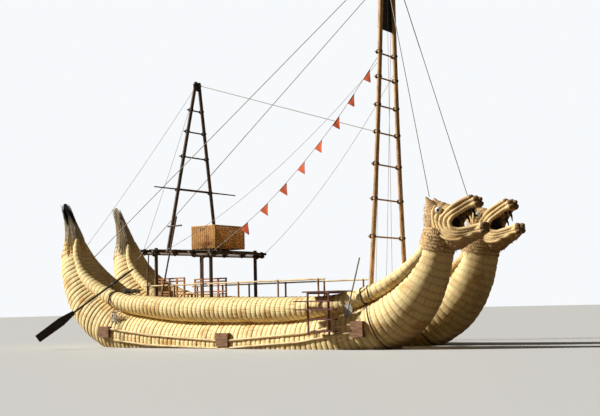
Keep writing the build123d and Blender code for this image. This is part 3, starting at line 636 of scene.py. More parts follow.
@dataclass(frozen=True)
class ReedFinish:
    """Tied reed: streaks along the reeds, cord windings across them and patches of age."""

    name: str
    pitch: float
    light: Colour = (0.97, 0.86, 0.52)
    mid: Colour = (0.86, 0.64, 0.27)
    dark: Colour = (0.36, 0.19, 0.05)
    cord: Colour = (0.96, 0.88, 0.66)
    grey: Colour = (0.90, 0.84, 0.72)
    shadow: Colour = (0.42, 0.34, 0.24)
    black: Colour = (0.02, 0.018, 0.016)
    streaks: float = 55.0
    streaks_along: float = 2.2
    patches: tuple[float, float, float] = (1.6, 1.6, 1.9)
    wound: tuple[float, float] = (0.92, 0.945)
    grey_from: tuple[float, float] = (0.15, 0.55)
    grey_most: float = 0.92
    black_from: tuple[float, float] = (0.72, 0.9)

    def material(self) -> bpy.types.Material:
        """Build the material.

        Returns:
            The material of tied reed.
        """
        n = Nodes(self.name)
        along, around = n.attribute("along"), n.attribute("around")
        lengthwise = n.add("CombineXYZ", {0: n.maths("MULTIPLY", along, self.streaks_along),
                                          1: n.maths("MULTIPLY", around, self.streaks)}).outputs[0]
        streak = n.add("TexNoise", {"Vector": lengthwise, "Scale": 1.0, "Detail": 3.0}).outputs["Fac"]
        reed = n.ramp(streak, ((0.25, self.dark), (0.42, self.mid), (0.56, self.light), (0.75, self.light)))
        aged = n.ramp(n.object_noise(self.patches, 5.0), AGE_TONES)
        reed = self.bound(n, n.mix(1.0, reed, aged, "MULTIPLY"), along)
        n.surface(self.weathered(n, reed, streak), 0.72)
        n.shader.inputs["Specular IOR Level"].default_value = 0.3
        n.bump(streak, 0.7, 0.012)
        return n.material

    def bound(self, n: Nodes, reed: Socket, along: Socket) -> Socket:
        """Reed with painted shade in the groove at each winding and a turn of cord once in each pitch.

        Args:
            n: the material's nodes.
            reed: the reed's colour.
            along: the distance along the roll.

        Returns:
            The colour.
        """
        bay = n.maths("FRACT", n.maths("DIVIDE", along, self.pitch))
        edge = n.maths("MULTIPLY", n.maths("ABSOLUTE", n.maths("SUBTRACT", bay, 0.5)), 2.0)
        # Painted shade: the reed darkens towards the groove at each winding.
        reed = n.mix(1.0, reed, n.ramp(edge, GROOVE_SHADE_TONES), "MULTIPLY")
        return n.mix(n.span(edge, *self.wound), reed, self.cord)

    def weathered(self, n: Nodes, reed: Socket, streak: Socket) -> Socket:
        """Reed greyed and burnt black where the mesh says it is weathered, and painted shade on lip ends.

        Args:
            n: the material's nodes.
            reed: the reed's colour.
            streak: the noise along the reeds.

        Returns:
            The colour.
        """
        # The figure is weathering by height on bundles and tails, and painted shade on the ends of the lips.
        weather = n.attribute("weather")
        greyed = n.maths("MULTIPLY", n.span(weather, *self.grey_from), self.grey_most)
        reed = n.mix(greyed, reed, n.mix(streak, self.shadow, self.grey))
        return n.mix(n.span(weather, *self.black_from), reed, self.black)


@dataclass(frozen=True)
class HeadFinish:
    """Reed packed and bound over the heads, seen end on and across."""

    name: str
    light: Colour = (0.82, 0.58, 0.29)
    dark: Colour = (0.24, 0.13, 0.05)
    ends: Colour = (0.92, 0.74, 0.42)

    def material(self) -> bpy.types.Material:
        """Build the material.

        Returns:
            The material of packed reed.
        """
        n = Nodes(self.name)
        fibre = n.object_noise((22.0, 22.0, 60.0), 4.0)
        patch = n.object_noise((4.0, 4.0, 4.0), 3.0)
        colour = n.ramp(fibre, ((0.3, self.dark), (0.55, self.light), (0.75, self.ends)))
        n.surface(n.mix(n.maths("MULTIPLY", patch, 0.6), colour, self.dark), 0.8)
        n.bump(fibre, 0.8, 0.012)
        return n.material


@dataclass(frozen=True)
class WoodFinish:
    """Weathered pole or board, with grain, knots and worn patches."""

    name: str
    light: Colour
    dark: Colour
    scale: tuple[float, float, float] = (3.0, 30.0, 30.0)
    roughness: float = 0.65
    brightest: float = 1.25

    def material(self) -> bpy.types.Material:
        """Build the material.

        Returns:
            The material of the wood.
        """
        n = Nodes(self.name)
        grain = n.object_noise(self.scale, 6.0)
        worn = n.object_noise((5.0, 5.0, 5.0), 4.0)
        bright = tuple(c * self.brightest for c in self.light)
        colour = n.ramp(grain, ((0.32, self.dark), (0.52, self.light), (0.72, bright)))
        rough = n.add("MapRange", {0: worn, 3: self.roughness - 0.1, 4: self.roughness + 0.15}).outputs[0]
        n.surface(n.mix(n.span(worn, 0.5, 0.7, 0.5), colour, self.dark), rough)
        n.bump(grain, 0.5, 0.004)
        return n.material


@dataclass(frozen=True)
class RopeFinish:
    """Twisted rope, with strands read off Object coordinates."""

    name: str
    light: Colour
    dark: Colour

    def material(self) -> bpy.types.Material:
        """Build the material.

        Returns:
            The material of the rope.
        """
        n = Nodes(self.name)
        coords = n.add("TexCoord").outputs["Object"]
        wave = n.add("TexWave", {"Vector": coords, "Scale": 16.0, "Distortion": 1.5, "Detail": 1.0},
                     bands_direction="DIAGONAL").outputs["Fac"]
        n.surface(n.ramp(wave, ((0.2, self.dark), (0.7, self.light))), 0.85)
        n.bump(wave, 0.5, 0.003)
        return n.material


@dataclass(frozen=True)
class PaintFinish:
    """Paint with dirt in it and a little wear."""

    name: str
    colour: Colour
    worn: Colour
    roughness: float = 0.5
    wear: float = 0.35

    def material(self) -> bpy.types.Material:
        """Build the material.

        Returns:
            The material of the paint.
        """
        n = Nodes(self.name)
        dirt = n.object_noise((14.0, 14.0, 14.0), 5.0)
        n.surface(n.mix(n.span(dirt, 0.5, 0.72, self.wear), self.colour, self.worn), self.roughness)
        n.bump(dirt, 0.15, 0.002)
        return n.material


@dataclass
class Materials:
    """Every finish of the boat, built once and named by the record's slots."""

    made: dict[str, bpy.types.Material] = field(default_factory=dict)

    def build(self) -> "Materials":
        """Make the materials.

        Returns:
            This set, ready for use.
        """
        finishes = (
            ReedFinish("reed", 0.187),
            ReedFinish("reed_roll", 0.190),
            # On the lips the grey and shadow tones are painted shade, dark on the ends of the rolls that
            # reach the jaw tips.
            ReedFinish("reed_lip", 0.045, light=(0.92, 0.74, 0.42), mid=(0.84, 0.60, 0.28),
                       grey=(0.34, 0.19, 0.09), shadow=(0.12, 0.06, 0.03), streaks=120.0),
            HeadFinish("reed_head"),
            WoodFinish("dark_wood", (0.13, 0.082, 0.055), (0.03, 0.02, 0.015)),
            WoodFinish("pole_wood", (0.58, 0.36, 0.18), (0.26, 0.145, 0.07), scale=(20.0, 20.0, 3.0)),
            WoodFinish("rub_wood", (0.80, 0.62, 0.34), (0.42, 0.28, 0.14)),
            WoodFinish("bench_wood", (0.56, 0.24, 0.08), (0.20, 0.075, 0.03)),
            WoodFinish("pad_wood", (0.27, 0.135, 0.06), (0.08, 0.035, 0.018)),
            WoodFinish("grey_wood", (0.42, 0.41, 0.38), (0.20, 0.19, 0.17), scale=(8.0, 8.0, 8.0)),
            WoodFinish("black_wood", (0.035, 0.035, 0.038), (0.012, 0.012, 0.014)),
            WoodFinish("basket", (0.80, 0.47, 0.16), (0.52, 0.28, 0.09), scale=(30.0, 30.0, 30.0)),
            RopeFinish("rope", (0.62, 0.60, 0.55), (0.30, 0.28, 0.25)),
            RopeFinish("pale_rope", (0.88, 0.83, 0.72), (0.50, 0.44, 0.34)),
            RopeFinish("dark_rope", (0.10, 0.08, 0.06), (0.03, 0.024, 0.02)),
            PaintFinish("red_metal", (0.13, 0.035, 0.035), (0.28, 0.12, 0.09)),
            PaintFinish("pennant", (0.78, 0.13, 0.035), (0.50, 0.07, 0.02), roughness=0.8),
            PaintFinish("eye_white", (0.82, 0.82, 0.80), (0.50, 0.48, 0.44), roughness=0.3),
            # Near-black for the back of the mouth: painted shade.
            PaintFinish("throat", (0.020, 0.012, 0.010), (0.05, 0.03, 0.02), roughness=0.9),
            PaintFinish("eye_black", (0.012, 0.012, 0.014), (0.04, 0.04, 0.04), roughness=0.25),
        )
        for finish in finishes:
            self.made[finish.name] = finish.material()
        return self

    def dress(self, obj: bpy.types.Object, name: str) -> None:
        """Give an object one material."""
        obj.data.materials.clear()
        obj.data.materials.append(self.made[name])


@dataclass
class ReedRoll:
    """A tied bundle of reed along a smooth line, pulled in at each winding of cord.

    Its rows are x, y, z, half height and half width at each station. The pitch is the distance between two
    windings, and the groove is the share of its size that they pull it in by. Around is the number of points
    in a ring, levels are the heights from which it is grey and black, and the figure for its ends is how far
    from them it is painted dark, as painted shade.
    """

    name: str
    rows: list[Row]
    pitch: float
    groove: float
    around: int
    finish: str
    replaced: tuple[str, ...] = ()
    levels: tuple[float, float] | None = None
    steps: tuple[float, ...] = (0.0, 0.09, 0.28, 0.5, 0.72, 0.91)
    rough: float = 0.0
    # How far from its ends shade is painted on the roll.
    dark_ends: float = 0.0
    line_step: float = 0.02
    ragged: float = 0.22
    swell: float = 0.008
    groove_power: int = 5
    end_weather: float = 0.6

    def build(self, materials: Materials) -> bpy.types.Object:
        """Make the bundle.

        Args:
            materials: the boat's materials.

        Returns:
            The finished piece.
        """
        rng = random.Random(self.name)
        line = smooth_rows(self.rows, self.line_step)
        run = run_along(line)
        bays = max(2, round(run[-1] / self.pitch))
        rings, along, aged = [], [], []
        ragged = [rng.uniform(-self.ragged, self.ragged) for _ in range(self.around)]
        at = 0
        for bay in range(bays):
            swell = 1.0 + rng.uniform(-self.swell, self.swell)
            for step in self.steps:
                want = run[-1] * (bay + step) / bays
                at, row = read_at(line, run, want, at)
                ahead, behind = line[min(at + 3, len(line) - 1)], line[max(at - 2, 0)]
                tangent = (Vector(ahead[:3]) - Vector(behind[:3])).normalized()
                pull = 1.0 - self.groove * abs(2 * step - 1) ** self.groove_power
                rings.append(self.ring(row, tangent, pull * swell, rng))
                along.append((bay + step) * self.pitch)
                # Weathering by height, and on rolls without levels painted shade near the ends.
                aged.append(self.weather(row[2], min(want, run[-1] - want), ragged))
        mean = sum(row[3] for row in self.rows) / len(self.rows)
        turn = [TAU * mean * j / self.around for j in range(self.around)]
        obj = tube_mesh(self.name, rings, along, turn, aged)
        materials.dress(obj, self.finish)
        piece = finished(obj, self.name, BODY)
        if self.replaced:
            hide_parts(*self.replaced)
        return piece

    def ring(self, row: Row, tangent: Vector, pull: float, rng: random.Random) -> list[Vector]:
        """One ring of points round the line.

        Args:
            row: the ring's place, half height and half width.
            tangent: direction of the line there.
            pull: share of its full size that the ring has.
            rng: random numbers for its roughness.

        Returns:
            The points, going round.
        """
        side = (Vector((0, 1, 0)) - tangent * tangent.y).normalized()
        up = tangent.cross(side)
        centre = Vector(row[:3])
        ring = []
        for j in range(self.around):
            angle = TAU * j / self.around
            reach = pull * (1.0 + (rng.uniform(-self.rough, self.rough) if self.rough else 0.0))
            across, rise = row[4] * reach * math.cos(angle), row[3] * reach * math.sin(angle)
            ring.append(centre + side * across + up * rise)
        return ring

    def weather(self, z: float, to_end: float, ragged: list[float]) -> list[float]:
        """How weathered each point of a ring is by its height, and on a roll without levels the painted shade
        near its ends.

        Args:
            z: the ring's height.
            to_end: its distance from the nearer end.
            ragged: how much higher each point of it counts as.

        Returns:
            A figure from 0 to 1 for each point.
        """
        if self.levels:
            return [weathered(z + high, self.levels) for high in ragged]
        # Painted shade: near its ends the roll gets a fixed figure that the finish shows dark.
        return [self.end_weather if to_end < self.dark_ends else 0.0] * self.around


@dataclass
class Hulls:
    """Both hulls: main bundles, gunwale rolls, belts and knots of rope, and frayed tails."""

    materials: Materials
    bundle_pitch: float = 0.187
    roll_pitch: float = 0.190
    belt_rope: float = 0.017
    belt_points: int = 48
    belt_out: float = 1.012
    belt_slack: float = 0.02
    belt_line_step: float = 0.05
    bundle_belts: tuple[float, ...] = (5.48,)
    roll_belts: tuple[float, ...] = (-5.30, 5.12, 5.36)
    heap_loops: int = 16
    heap_points: int = 18
    heap_at: tuple[float, float, float] = (-4.55, -0.50, 1.89)
    heap_spread: tuple[float, float, float] = (0.30, 0.10, 0.09)
    heap_reach: tuple[float, float] = (0.08, 0.17)
    heap_flat: tuple[float, float] = (0.8, 0.25)
    knot_loops: int = 15
    knot_points: int = 16
    knot_rope: float = 0.013
    knot_at: tuple[float, float, float] = (-4.97, -0.77, 0.99)
    knot_spread: tuple[float, float] = (0.16, 0.20)
    knot_reach: tuple[float, float] = (0.06, 0.13)
    knot_flat: tuple[float, float] = (0.35, 1.3)
    tail_reeds: int = 420
    tail_levels: int = 7
    tail_rows: int = 5
    tail_line_step: float = 0.03
    reed_start: tuple[float, float] = (0.25, 0.85)
    reed_tips: tuple[float, float] = (0.12, 0.45)
    reed_shortest: float = 0.12
    reed_thick: tuple[float, float] = (0.007, 0.016)
    reed_flare: tuple[float, float] = (-0.02, 0.10)
    reed_drift: float = 0.25
    flare_gain: float = 9.0
    flare_least: float = 0.4
    tip_share: float = 2.2
    tip_thinner: float = 0.75
    end_lean: float = 0.30
    wave: tuple[float, int] = (0.02, 7)
    ragged: tuple[float, int] = (0.15, 5)

    def build(self) -> None:
        """Make every reed piece of the hulls."""
        for side in Side:
            self.bundle(side)
            self.belts(side)
            for name, table, out in (("outer_roll", OUTER_ROLL, 1), ("inner_roll", INNER_ROLL, -1)):
                rows = self.roll_rows(side, table, out)
                ReedRoll(f"{name}_reed_{side.label}", rows, pitch=self.roll_pitch, groove=0.055, around=24,
                         finish="reed_roll", replaced=(f"{name}_{side.label}",)).build(self.materials)
            self.tail(side)
        LOG.info("hulls built")

    def roll_rows(self, side: Side, table: tuple[Row, ...], out: int) -> list[Row]:
        """Rows of a gunwale roll in metres.

        Args:
            side: the side that it is on.
            table: its rows in mm.
            out: 1 for the outer roll, -1 for the inner one.

        Returns:
            x, y, z and the radius twice, at each station.
        """
        return [tuple(side.place(Vector((x * MM, HULL_Y - out * off * MM, z * MM)))) + (r * MM, r * MM)
                for x, off, z, r in table]

    def bundle(self, side: Side) -> None:
        """Main bundle of one hull, with a stouter neck on the port side.

        Args:
            side: the side that it is on.
        """
        rows = []
        for x, z, high, wide in BUNDLE:
            share = min(1.0, max(0.0, (x * MM - NECK_FROM_X) / (NECK_FULL_X - NECK_FROM_X)))
            more = share * side.stouter
            centre = side.place(Vector(((x + more) * MM, HULL_Y, z * MM)))
            rows.append(tuple(centre) + ((high + more) * MM, (wide + more) * MM))
        ReedRoll(f"bundle_reed_{side.label}", rows, pitch=self.bundle_pitch, groove=0.03, around=48,
                 finish="reed", replaced=(f"hull_{side.label}",),
                 levels=side.weather_levels).build(self.materials)

    def belts(self, side: Side) -> None:
        """Dark turns of rope round the bundle and the outer roll, and a pale knot between them aft.

        Args:
            side: the side that they are on.
        """
        rng = random.Random(SEED * 5 + side.sign)
        bundle = [tuple(side.place(Vector((x * MM, HULL_Y, z * MM)))) + (high * MM, wide * MM)
                  for x, z, high, wide in BUNDLE]
        roll = self.roll_rows(side, OUTER_ROLL, 1)
        dark = Strands()
        for rows, places in ((bundle, self.bundle_belts), (roll, self.roll_belts)):
            line = smooth_rows(rows, self.belt_line_step)
            for x in places:
                dark.tube(self.belt(line, x), self.belt_rope, 8)
        if side is Side.STARBOARD:
            self.rope_heap(dark, side, rng)
        self.materials.dress(dark.piece(f"belts_{side.label}", BODY, "rope"), "dark_rope")
        self.stern_knot(side, rng)

    def belt(self, line: list[Row], x: float) -> list[Vector]:
        """Ring of rope round a roll, a little out of true.

        Args:
            line: rows along the roll.
            x: where the belt is.

        Returns:
            Points round the roll.
        """
        at = min(range(1, len(line) - 1), key=lambda k: abs(line[k][0] - x))
        tangent = (Vector(line[at + 1][:3]) - Vector(line[at - 1][:3])).normalized()
        across = (Vector((0, 1, 0)) - tangent * tangent.y).normalized()
        up = tangent.cross(across)
        ring = []
        for j in range(self.belt_points + 1):
            angle = TAU * j / self.belt_points
            out = across * (line[at][4] * math.cos(angle)) + up * (line[at][3] * math.sin(angle))
            slack = tangent * (self.belt_slack * math.sin(3 * angle + x))
            ring.append(Vector(line[at][:3]) + out * self.belt_out + slack)
        return ring

    def rope_heap(self, strands: Strands, side: Side, rng: random.Random) -> None:
        """Coils of rope lying on the outer roll, aft.

        Args:
            strands: the ropes that they are added to.
            side: the side that they are on.
            rng: random numbers for their places and sizes.
        """
        x, y, z = self.heap_at
        for _ in range(self.heap_loops):
            centre = Vector((x + rng.uniform(-self.heap_spread[0], self.heap_spread[0]),
                             HULL_Y + y + rng.uniform(-self.heap_spread[1], self.heap_spread[1]),
                             z + rng.uniform(0.0, self.heap_spread[2])))
            reach, lean = rng.uniform(*self.heap_reach), rng.uniform(0, TAU)
            loop = []
            for j in range(self.heap_points + 1):
                angle = TAU * j / self.heap_points
                spot = Vector((math.cos(angle), self.heap_flat[0] * math.sin(angle),
                               self.heap_flat[1] * math.sin(angle + lean))) * reach
                loop.append(side.place(centre + spot))
            strands.tube(loop, self.belt_rope, 6)

    def stern_knot(self, side: Side, rng: random.Random) -> None:
        """Pale knot of loops between the bundle and the outer roll, aft.

        Args:
            side: the side that it is on.
            rng: random numbers for its loops.
        """
        x, y, z = self.knot_at
        pale = Strands()
        for _ in range(self.knot_loops):
            centre = Vector((x + rng.uniform(-self.knot_spread[0], self.knot_spread[0]), HULL_Y + y,
                             z + rng.uniform(-self.knot_spread[1], self.knot_spread[1])))
            reach, lean = rng.uniform(*self.knot_reach), rng.uniform(0, TAU)
            loop = []
            for j in range(self.knot_points + 1):
                angle = TAU * j / self.knot_points
                spot = Vector((math.cos(angle), self.knot_flat[0] * math.sin(angle + lean),
                               math.sin(angle) * self.knot_flat[1])) * reach
                loop.append(side.place(centre + spot))
            pale.tube(loop, self.knot_rope, 6)
        self.materials.dress(pale.piece(f"stern_knot_{side.label}", BODY, "rope"), "pale_rope")

    def tail(self, side: Side) -> None:
        """Loose grey reeds round the end of the bundle, black and frayed at their tips.

        Args:
            side: the side that it is on.
        """
        rng = random.Random(SEED + side.sign)
        rows = [(x * MM, HULL_Y, z * MM, high * MM, wide * MM)
                for x, z, high, wide in BUNDLE[:self.tail_rows]]
        line = smooth_rows(rows, self.tail_line_step)
        points, faces, weather = [], [], []
        for _ in range(self.tail_reeds):
            base = len(points)
            self.loose_reed(line, side, rng, points, weather)
            for k in range(self.tail_levels - 1):
                for j in range(3):
                    a, b = base + 3 * k + j, base + 3 * k + (j + 1) % 3
                    faces.append((a, b, b + 3, a + 3))
            last = base + 3 * self.tail_levels
            faces.append((base, base + 2, base + 1))
            faces.append((last - 3, last - 2, last - 1))
        mesh = bpy.data.meshes.new("tail")
        mesh.from_pydata(points, [], faces)
        keep_on_points(mesh, "along", [point.z for point in points])
        keep_on_points(mesh, "around", [point.x + point.y for point in points])
        keep_on_points(mesh, "weather", weather)
        obj = linked("tail", mesh)
        face_outwards()
        self.materials.dress(obj, "reed")
        finished(obj, f"tail_reeds_{side.label}", BODY)

    def loose_reed(self, line: list[Row], side: Side, rng: random.Random, points: list[Vector],
                   weather: list[float]) -> None:
        """One three-sided reed that lies on the bundle and stands off it towards its tip.

        Args:
            line: rows along the bundle, from its tip.
            side: the side that it is on.
            rng: random numbers for its place and form.
            points: the points that its own are added to.
            weather: the same for how weathered each point is.
        """
        angle = rng.uniform(0, TAU)
        start = rng.uniform(*self.reed_start)
        end = rng.choice([rng.uniform(0.0, tip) for tip in self.reed_tips])
        end = min(end, start - self.reed_shortest)
        thick, flare = rng.uniform(*self.reed_thick), rng.uniform(*self.reed_flare) ** 2 * self.flare_gain
        drift = rng.uniform(-self.reed_drift, self.reed_drift)
        reach = 1.0 + self.wave[0] * math.sin(self.wave[1] * angle)
        higher = self.ragged[0] * math.sin(self.ragged[1] * angle)
        for k in range(self.tail_levels):
            step = k / (self.tail_levels - 1)
            share = start + (end - start) * step
            row = line[round(share * (len(line) - 1))]
            turn = angle + drift * step
            near_tip = max(0.0, 1.0 - share * self.tip_share)
            loose = flare * (step ** 2) * (self.flare_least + near_tip)
            spot = Vector((row[0] + math.sin(turn) * (row[3] * reach + loose),
                           row[1] + math.cos(turn) * (row[4] * reach + loose),
                           row[2] + math.sin(turn) * row[3] * self.end_lean))
            wide = thick * (1.0 - self.tip_thinner * step)
            for j in range(3):
                corner = turn + TAU * j / 3
                points.append(side.place(spot + Vector((math.sin(corner), math.cos(corner), 0)) * wide))
                weather.append(weathered(spot.z + higher, side.weather_levels))


@dataclass
class CatHead:
    """One head's jaws, lips, eyes, ears and fangs, fitted over the solid head."""

    side: Side
    materials: Materials
    pivot: Vector = field(default_factory=lambda: Vector((7.440, HULL_Y, 3.600)))
    cheek_half: float = 0.360
    cheek_x: float = 7.950
    taper: float = 0.42
    snout_half: float = 0.110
    throat_at: tuple[float, float, float] = (7.83, 0.0, 3.47)
    throat_half: tuple[float, float, float] = (0.05, 0.32, 0.24)
    ear_rows: tuple[Row, ...] = (
        (7.27, 0.20, 3.90, 0.20, 0.13), (7.21, 0.22, 4.03, 0.135, 0.11),
        (7.14, 0.23, 4.15, 0.07, 0.075), (7.09, 0.24, 4.25, 0.018, 0.02),
    )
    fibre_counts: tuple[tuple[tuple[Row, ...], int], ...] = ((SKULL, 420), (LOWER_JAW, 160), (SLEEVE, 260))
    fibre_long: tuple[float, float] = (0.05, 0.12)
    fibre_bend: float = 0.012
    fibre_radii: tuple[float, float, float] = (0.006, 0.005, 0.002)
    fibre_spots: tuple[float, float, float] = (-0.2, 0.45, 0.8)
    fibre_aft: float = 0.9
    fibre_down: float = 0.7
    lip_lead: float = 0.7
    lip_tip: float = 0.5
    lip_dark: float = 0.13
    pale_lips: int = 2
    eye_r: float = 0.098
    pupil_r: float = 0.040
    pupil_out: float = 0.072
    pupil_ahead: float = 0.25
    pupil_down: float = 0.05
    fang_bend: float = 0.02
    fang_root: float = 1.15
    fang_middle: float = 0.75
    fang_tip: float = 0.009

    def half(self, x: float) -> float:
        """Half width of the jaws at x."""
        return max(self.snout_half, self.cheek_half - self.taper * max(0.0, x - self.cheek_x))

    def at(self, x: float, out: float, z: float) -> Vector:
        """A point of the level starboard head, on this head as it is turned and tilted.

        Args:
            x: its x.
            out: its distance from the hull's centre plane, towards the middle line.
            z: its height.

        Returns:
            Where it is on this head.
        """
        point = Vector((x, HULL_Y + out, z)) - self.pivot
        point = Matrix.Rotation(self.side.turn, 3, "Z") @ Matrix.Rotation(-self.side.tilt, 3, "Y") @ point
        return self.side.place(point + self.pivot)

    def build(self) -> None:
        """Make the head's pieces."""
        skull = self.shape("skull", SKULL, 0.16)
        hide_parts(f"head_{self.side.label}")
        self.shape("upper_jaw", UPPER_JAW, 0.11)
        self.shape("lower_jaw", LOWER_JAW, 0.11)
        self.sleeve()
        self.throat()
        for half in (-1, 1):
            self.lips(half)
            self.eye(half)
            self.ear(half)
            self.fangs(half)
        self.fibres()
        LOG.info("head built: %s", self.side.label)

    def shape(self, name: str, table: tuple[Row, ...], pitch: float) -> bpy.types.Object:
        """A rough rounded mass through the rows of a table.

        Args:
            name: its name, without its side.
            table: its rows in mm.
            pitch: distance between its dents.

        Returns:
            The piece.
        """
        rows = [tuple(self.at(x * MM, 0.0, z * MM)) + (high * MM, wide * MM) for x, z, high, wide in table]
        return ReedRoll(f"{name}_{self.side.label}", rows, pitch=pitch, groove=0.03, around=40,
                        finish="reed_head", rough=0.018).build(self.materials)

    def sleeve(self) -> None:
        """Thatch wound round the top of the neck."""
        more = self.side.stouter
        rows = []
        for x, z, high, wide in SLEEVE:
            centre = self.side.place(Vector(((x + more) * MM, HULL_Y, z * MM)))
            rows.append(tuple(centre) + ((high + more) * MM, (wide + more) * MM))
        ReedRoll(f"sleeve_{self.side.label}", rows, pitch=0.09, groove=0.05, around=48, finish="reed_head",
                 rough=0.015).build(self.materials)

    def ball(self, name: str, centre: Vector, radius: float, finish: str) -> None:
        """Smooth ball, as an eye or its pupil.

        Args:
            name: its name.
            centre: its place.
            radius: its radius.
            finish: its material.
        """
        deselect()
        bpy.ops.mesh.primitive_uv_sphere_add(segments=32, ring_count=20, radius=radius, location=centre)
        ball = bpy.context.active_object
        bpy.ops.object.shade_smooth()
        self.materials.dress(ball, finish)
        finished(ball, name, BODY)

    def throat(self) -> None:
        """Near-black ball at the back of the mouth, as painted shade where the inside of the mouth lies in
        shadow.
        """
        deselect()
        bpy.ops.mesh.primitive_uv_sphere_add(segments=32, ring_count=16, radius=1.0,
                                             location=self.at(*self.throat_at))
        ball = bpy.context.active_object
        ball.scale = self.throat_half
        ball.rotation_euler = (0, 0, -self.side.sign * self.side.turn)
        bpy.ops.object.transform_apply(location=False, rotation=True, scale=True)
        bpy.ops.object.shade_smooth()
        self.materials.dress(ball, "throat")
        finished(ball, f"throat_{self.side.label}", BODY)

    def ear(self, half: int) -> None:
        """Pointed ear at the back of the head, broad where it meets the skull.

        Args:
            half: 1 for the ear towards the middle line, -1 for the other.
        """
        rows = [tuple(self.at(x, half * out, z)) + (thick, wide) for x, out, z, thick, wide in self.ear_rows]
        ReedRoll(f"ear_{half_name(half)}_{self.side.label}", rows, pitch=0.05, groove=0.03, around=20,
                 finish="reed_head", rough=0.02).build(self.materials)

    def fibres(self) -> None:
        """Loose ends of reed over the skull, the lower jaw and the sleeve."""
        rng = random.Random(SEED * 7 + self.side.sign)
        strands = Strands()
        root, middle, tip = self.fibre_spots
        for table, count in self.fibre_counts:
            for _ in range(count):
                start, away = self.fibre_root(table, rng)
                way = self.side.place(away.normalized()) * rng.uniform(*self.fibre_long)
                bend = Vector((rng.uniform(-1, 1), rng.uniform(-1, 1), rng.uniform(-1, 1))) * self.fibre_bend
                strands.tube([start + way * root, start + way * middle + bend, start + way * tip],
                             list(self.fibre_radii), 4)
        piece = strands.piece(f"head_fibres_{self.side.label}", BODY, "reed_head")
        self.materials.dress(piece, "reed_head")

    def fibre_root(self, table: tuple[Row, ...], rng: random.Random) -> tuple[Vector, Vector]:
        """Where a loose end of reed starts, and which way it points.

        Args:
            table: rows in mm of the mass that it grows from.
            rng: random numbers for its place.

        Returns:
            Its start on this head, and its direction on the starboard side.
        """
        k = rng.uniform(0, len(table) - 1.001)
        low, high = table[int(k)], table[int(k) + 1]
        x, z, tall, wide = (a + (k % 1) * (b - a) for a, b in zip(low, high))
        angle = rng.uniform(0, TAU)
        out, up = math.cos(angle), math.sin(angle)
        if table is SLEEVE:
            more = self.side.stouter
            spot = Vector((x + more + up * (tall + more), out * (wide + more), z)) * MM
            away = Vector((up, out, -self.fibre_aft - rng.random()))
            return self.side.place(spot + Vector((0, HULL_Y, 0))), away
        spot = Vector((x, out * wide, z + up * tall)) * MM
        away = Vector((-self.fibre_aft * rng.random(), out, self.fibre_down * up - self.fibre_down))
        return self.at(*spot), away

    def lips(self, half: int) -> None:
        """Rolls of reed nested round one side of the mouth.

        Args:
            half: 1 for the side towards the middle line, -1 for the other.
        """
        for number, (radius, points) in enumerate(LIP_ROLLS):
            r = radius * MM
            rows = [tuple(self.at(x * MM, half * self.half(x * MM), z * MM)) + (r, r) for x, z in points]
            rows = [self.lip_end(rows[0], rows[1], r)] + rows + [self.lip_end(rows[-1], rows[-2], r)]
            # Painted shade: the rolls that reach the jaw tips are darkened towards their ends, where the tips
            # lie in shadow.
            dark_ends = 0.0 if number < self.pale_lips else self.lip_dark
            ReedRoll(f"lip_{number}_{half_name(half)}_{self.side.label}", rows, pitch=0.040, groove=0.04,
                     around=20, finish="reed_lip", steps=(0.0, 0.25, 0.5, 0.75),
                     dark_ends=dark_ends).build(self.materials)

    def lip_end(self, end: Row, inner: Row, r: float) -> Row:
        """Row a little past the end of a lip's roll, where it tapers off.

        Args:
            end: the roll's last row.
            inner: the row before it.
            r: the roll's radius.

        Returns:
            The row to add.
        """
        way = (Vector(end[:3]) - Vector(inner[:3])).normalized()
        return tuple(Vector(end[:3]) + way * r * self.lip_lead) + (r * self.lip_tip, r * self.lip_tip)

    def eye(self, half: int) -> None:
        """White ball with a black pupil that looks outward and ahead.

        Args:
            half: 1 for the eye towards the middle line, -1 for the other.
        """
        x, out, z = (c * MM for c in EYE)
        for name, away, radius, finish in (("eye", 0.0, self.eye_r, "eye_white"),
                                           ("pupil", self.pupil_out, self.pupil_r, "eye_black")):
            centre = self.at(x + away * self.pupil_ahead, half * (out + away), z - away * self.pupil_down)
            self.ball(f"{name}_{half_name(half)}_{self.side.label}", centre, radius, finish)

    def fangs(self, half: int) -> None:
        """Curved black fangs.

        Args:
            half: 1 for the side towards the middle line, -1 for the other.
        """
        for number, (x, out, z, tip_x, tip_z, radius) in enumerate(FANGS):
            aside, r = half * out * MM, radius * MM
            start, end = self.at(x * MM, aside, z * MM), self.at(tip_x * MM, aside, tip_z * MM)
            bend = self.at((x + tip_x) / 2 * MM + self.fang_bend, aside, (z + tip_z) / 2 * MM)
            sizes = ((start, r * self.fang_root), (bend, r * self.fang_middle), (end, self.fang_tip))
            rows = [tuple(point) + (size, size) for point, size in sizes]
            name = f"fang_{number}_{half_name(half)}_{self.side.label}"
            piece = ReedRoll(name, rows, pitch=0.05, groove=0.0, around=10,
                             finish="black_wood").build(self.materials)


def platform_z(x: float) -> float:
    """Height of the platform's side logs at x."""
    return PLATFORM_FORE_Z + (PLATFORM_FORE_X - x) * math.tan(PLATFORM_SLOPE)


def mast_at(z: float) -> Vector:
    """Centre of the starboard mast leg, bowed in a little at its middle.

    Args:
        z: the height.

    Returns:
        The point.
    """
    t = (z - MAST_FOOT.z) / (MAST_HEAD.z - MAST_FOOT.z)
    point = MAST_FOOT.lerp(MAST_HEAD, t)
    point.y += MAST_BOW * 4 * t * (1 - t)
    return point


def mizzen_at(z: float) -> Vector:
    """Centre of the starboard mizzen leg at height z."""
    return MIZZEN_FOOT.lerp(MIZZEN_HEAD, (z - MIZZEN_FOOT.z) / (MIZZEN_HEAD.z - MIZZEN_FOOT.z))


def sagging(start: Vector, end: Vector, sag: float, parts: int = 24) -> list[Vector]:
    """Points along a line that hangs between two points."""
    return [start.lerp(end, i / parts) - Vector((0, 0, sag * 4 * (i / parts) * (1 - i / parts)))
            for i in range(parts + 1)]


